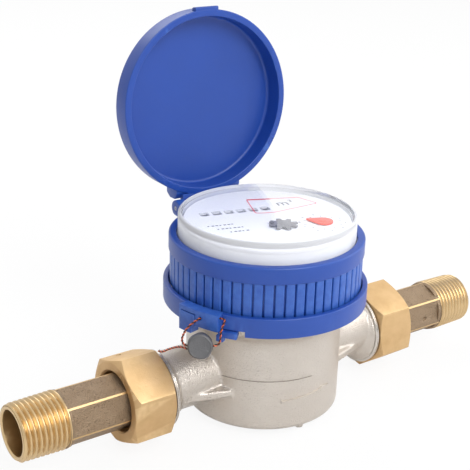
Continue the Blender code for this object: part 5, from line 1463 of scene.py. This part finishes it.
def make_seal():
    """The pressed lead seal and its twisted copper wire."""
    facing = Vector(SEAL_FACING).normalized()
    right = facing.cross(Vector((0.0, 0.0, -1.0))).normalized()
    basis = Matrix((right, facing.cross(right), facing)).transposed().to_4x4()
    place = Matrix.Translation(Vector(SEAL_PLACE) * (1.0 / METRE)) @ basis
    seal = build("seal_disc", moved(pressed_disc(), place), LEAD, 45.0)
    loop, path = twisted_wire("seal_loop", LOOP_ROUTE)
    tail, _ = twisted_wire("seal_tail", TAIL_ROUTE)
    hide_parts("lead_seal")
    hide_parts("seal_wire_loop")
    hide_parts("seal_wire_tail")
    for thing in (seal, loop, tail):
        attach(thing, "meter")


# Finishes of the inner pieces, which stay as they are

NODE_FINISHES = {
    "inlet_strainer": WHITE, "impeller": WHITE, "impeller_magnet": MAGNET, "pivot_pin": STEEL,
    "pressure_plate": NUT_BRASS, "pressure_plate_o_ring": RUBBER, "magnetic_shield_ring": STEEL,
    "gear_frame": WHITE, "gear_top_plate": WHITE, "follower_spindle": WHITE, "follower_magnet": MAGNET,
    "star_spindle_wheel": WHITE, "middle_wheel": WHITE, "pointer_spindle_wheel": WHITE,
    "roller_drive_wheel": WHITE, "roller_shaft": STEEL, "slip_washer": WHITE,
    "inlet_gasket": RUBBER, "outlet_gasket": RUBBER,
}


def paint_nodes():
    """Gives each solid that still shows its finish."""
    for label, finish in NODE_FINISHES.items():
        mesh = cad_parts[label].data
        mesh.materials.clear()
        mesh.materials.append(finish)


# Camera, light and floor


def make_camera():
    """The camera where the photograph was taken from."""
    lens = bpy.data.cameras.new("camera")
    lens.sensor_width = 36.0
    lens.lens = CAMERA_LENS
    lens.clip_start = 0.01
    lens.clip_end = 20.0
    camera = new_object("camera", lens)
    forward = Vector(CAMERA_FORWARD).normalized()
    right = forward.cross(Vector((0.0, 0.0, 1.0))).normalized()
    up = right.cross(forward)
    roll = math.radians(CAMERA_ROLL)
    across = right * math.cos(roll) + up * math.sin(roll)
    over = up * math.cos(roll) - right * math.sin(roll)
    turn = Matrix((across, over, -forward)).transposed()
    camera.matrix_world = Matrix.Translation(CAMERA_PLACE) @ turn.to_4x4()
    bpy.context.scene.camera = camera


def soft_light(name, place, size, power):
    """A square studio light that faces the meter's middle."""
    data = bpy.data.lights.new(name, "AREA")
    data.size = size
    data.energy = power
    lamp = new_object(name, data)
    lamp.location = place
    lamp.rotation_euler = (Vector(LIT_POINT) - Vector(place)).to_track_quat("-Z", "Y").to_euler()


def make_world():
    """White to the eye and through the cover, dimmer as a light, grey to white in reflections."""
    world = bpy.data.worlds.new("studio")
    bpy.context.scene.world = world
    world.use_nodes = True
    tree = world.node_tree
    nodes, links = tree.nodes, tree.links
    nodes.clear()
    seen = plain_shader(tree, "ShaderNodeBackground", (1.0, 1.0, 1.0))
    lit = plain_shader(tree, "ShaderNodeBackground", (1.0, 1.0, 1.0))
    lit.node.inputs["Strength"].default_value = SURROUNDING_LIGHT

    # Reflections run from grey below to white above, by the height of their direction
    ramp = nodes.new("ShaderNodeValToRGB")
    ramp.color_ramp.elements[0].position = 0.30
    ramp.color_ramp.elements[0].color = (0.34, 0.34, 0.345, 1.0)
    ramp.color_ramp.elements[1].position = 0.72
    ramp.color_ramp.elements[1].color = (1.0, 1.0, 1.0, 1.0)
    direction = split_up(tree, nodes.new("ShaderNodeTexCoord").outputs["Generated"])
    height = nodes.new("ShaderNodeMapRange")
    height.inputs["From Min"].default_value = -1.0
    height.inputs["From Max"].default_value = 1.0
    links.new(direction["Z"], height.inputs["Value"])
    links.new(height.outputs["Result"], ramp.inputs["Fac"])
    mirrored = nodes.new("ShaderNodeBackground")
    links.new(ramp.outputs["Color"], mirrored.inputs["Color"])

    rays = nodes.new("ShaderNodeLightPath").outputs
    around = mixed(tree, rays["Is Glossy Ray"], lit, mirrored.outputs[0])
    either = maths(tree, "MAXIMUM", rays["Is Camera Ray"], rays["Is Transmission Ray"])
    out = nodes.new("ShaderNodeOutputWorld")
    links.new(mixed(tree, either, around, seen), out.inputs["Surface"])


def make_floor():
    """A pale flat floor that fills the photograph's view and keeps the meter's shadow."""
    mesh = bpy.data.meshes.new("floor")
    bm = bmesh.new()
    bmesh.ops.create_grid(bm, x_segments=1, y_segments=1, size=3.0)
    bm.to_mesh(mesh)
    bm.free()
    floor = new_object("floor", mesh)
    floor.location = (0.0, 0.0, -0.00002)
    paper = bpy.data.materials.new("floor_paper")
    paper.use_nodes = True
    tree = paper.node_tree
    shader = tree.nodes["Principled BSDF"]
    shader.inputs["Base Color"].default_value = (0.92, 0.92, 0.92, 1.0)
    shader.inputs["Roughness"].default_value = 0.9
    shader.inputs["Specular IOR Level"].default_value = 0.0
    glow = plain_shader(tree, "ShaderNodeEmission", (1.0, 1.0, 1.0))
    rays = tree.nodes.new("ShaderNodeLightPath")
    seen = maths(tree, "MULTIPLY", rays.outputs["Is Camera Ray"], FLOOR_GLOW)
    whole = mixed(tree, seen, shader.outputs[0], glow)
    tree.links.new(whole, tree.nodes["Material Output"].inputs["Surface"])
    mesh.materials.append(paper)


make_camera()
make_seal()
make_body()
make_cast_marks()
make_collars()
make_ring()
make_lid()
make_band()
make_union(-1, "inlet", 81.23, 42.94)
make_union(1, "outlet", 36.48, 37.25)
make_rollers()
make_dial()
make_star()
make_pointer()
make_cup_and_cover()
paint_nodes()
make_floor()
make_world()
soft_light("key", (0.02, -0.95, 0.90), 0.7, 9.8)
soft_light("fill", (0.85, -0.30, 0.50), 0.8, 3.8)
soft_light("back", (0.15, 0.75, 0.75), 0.6, 3.0)

bpy.context.scene.view_settings.view_transform = "Standard"
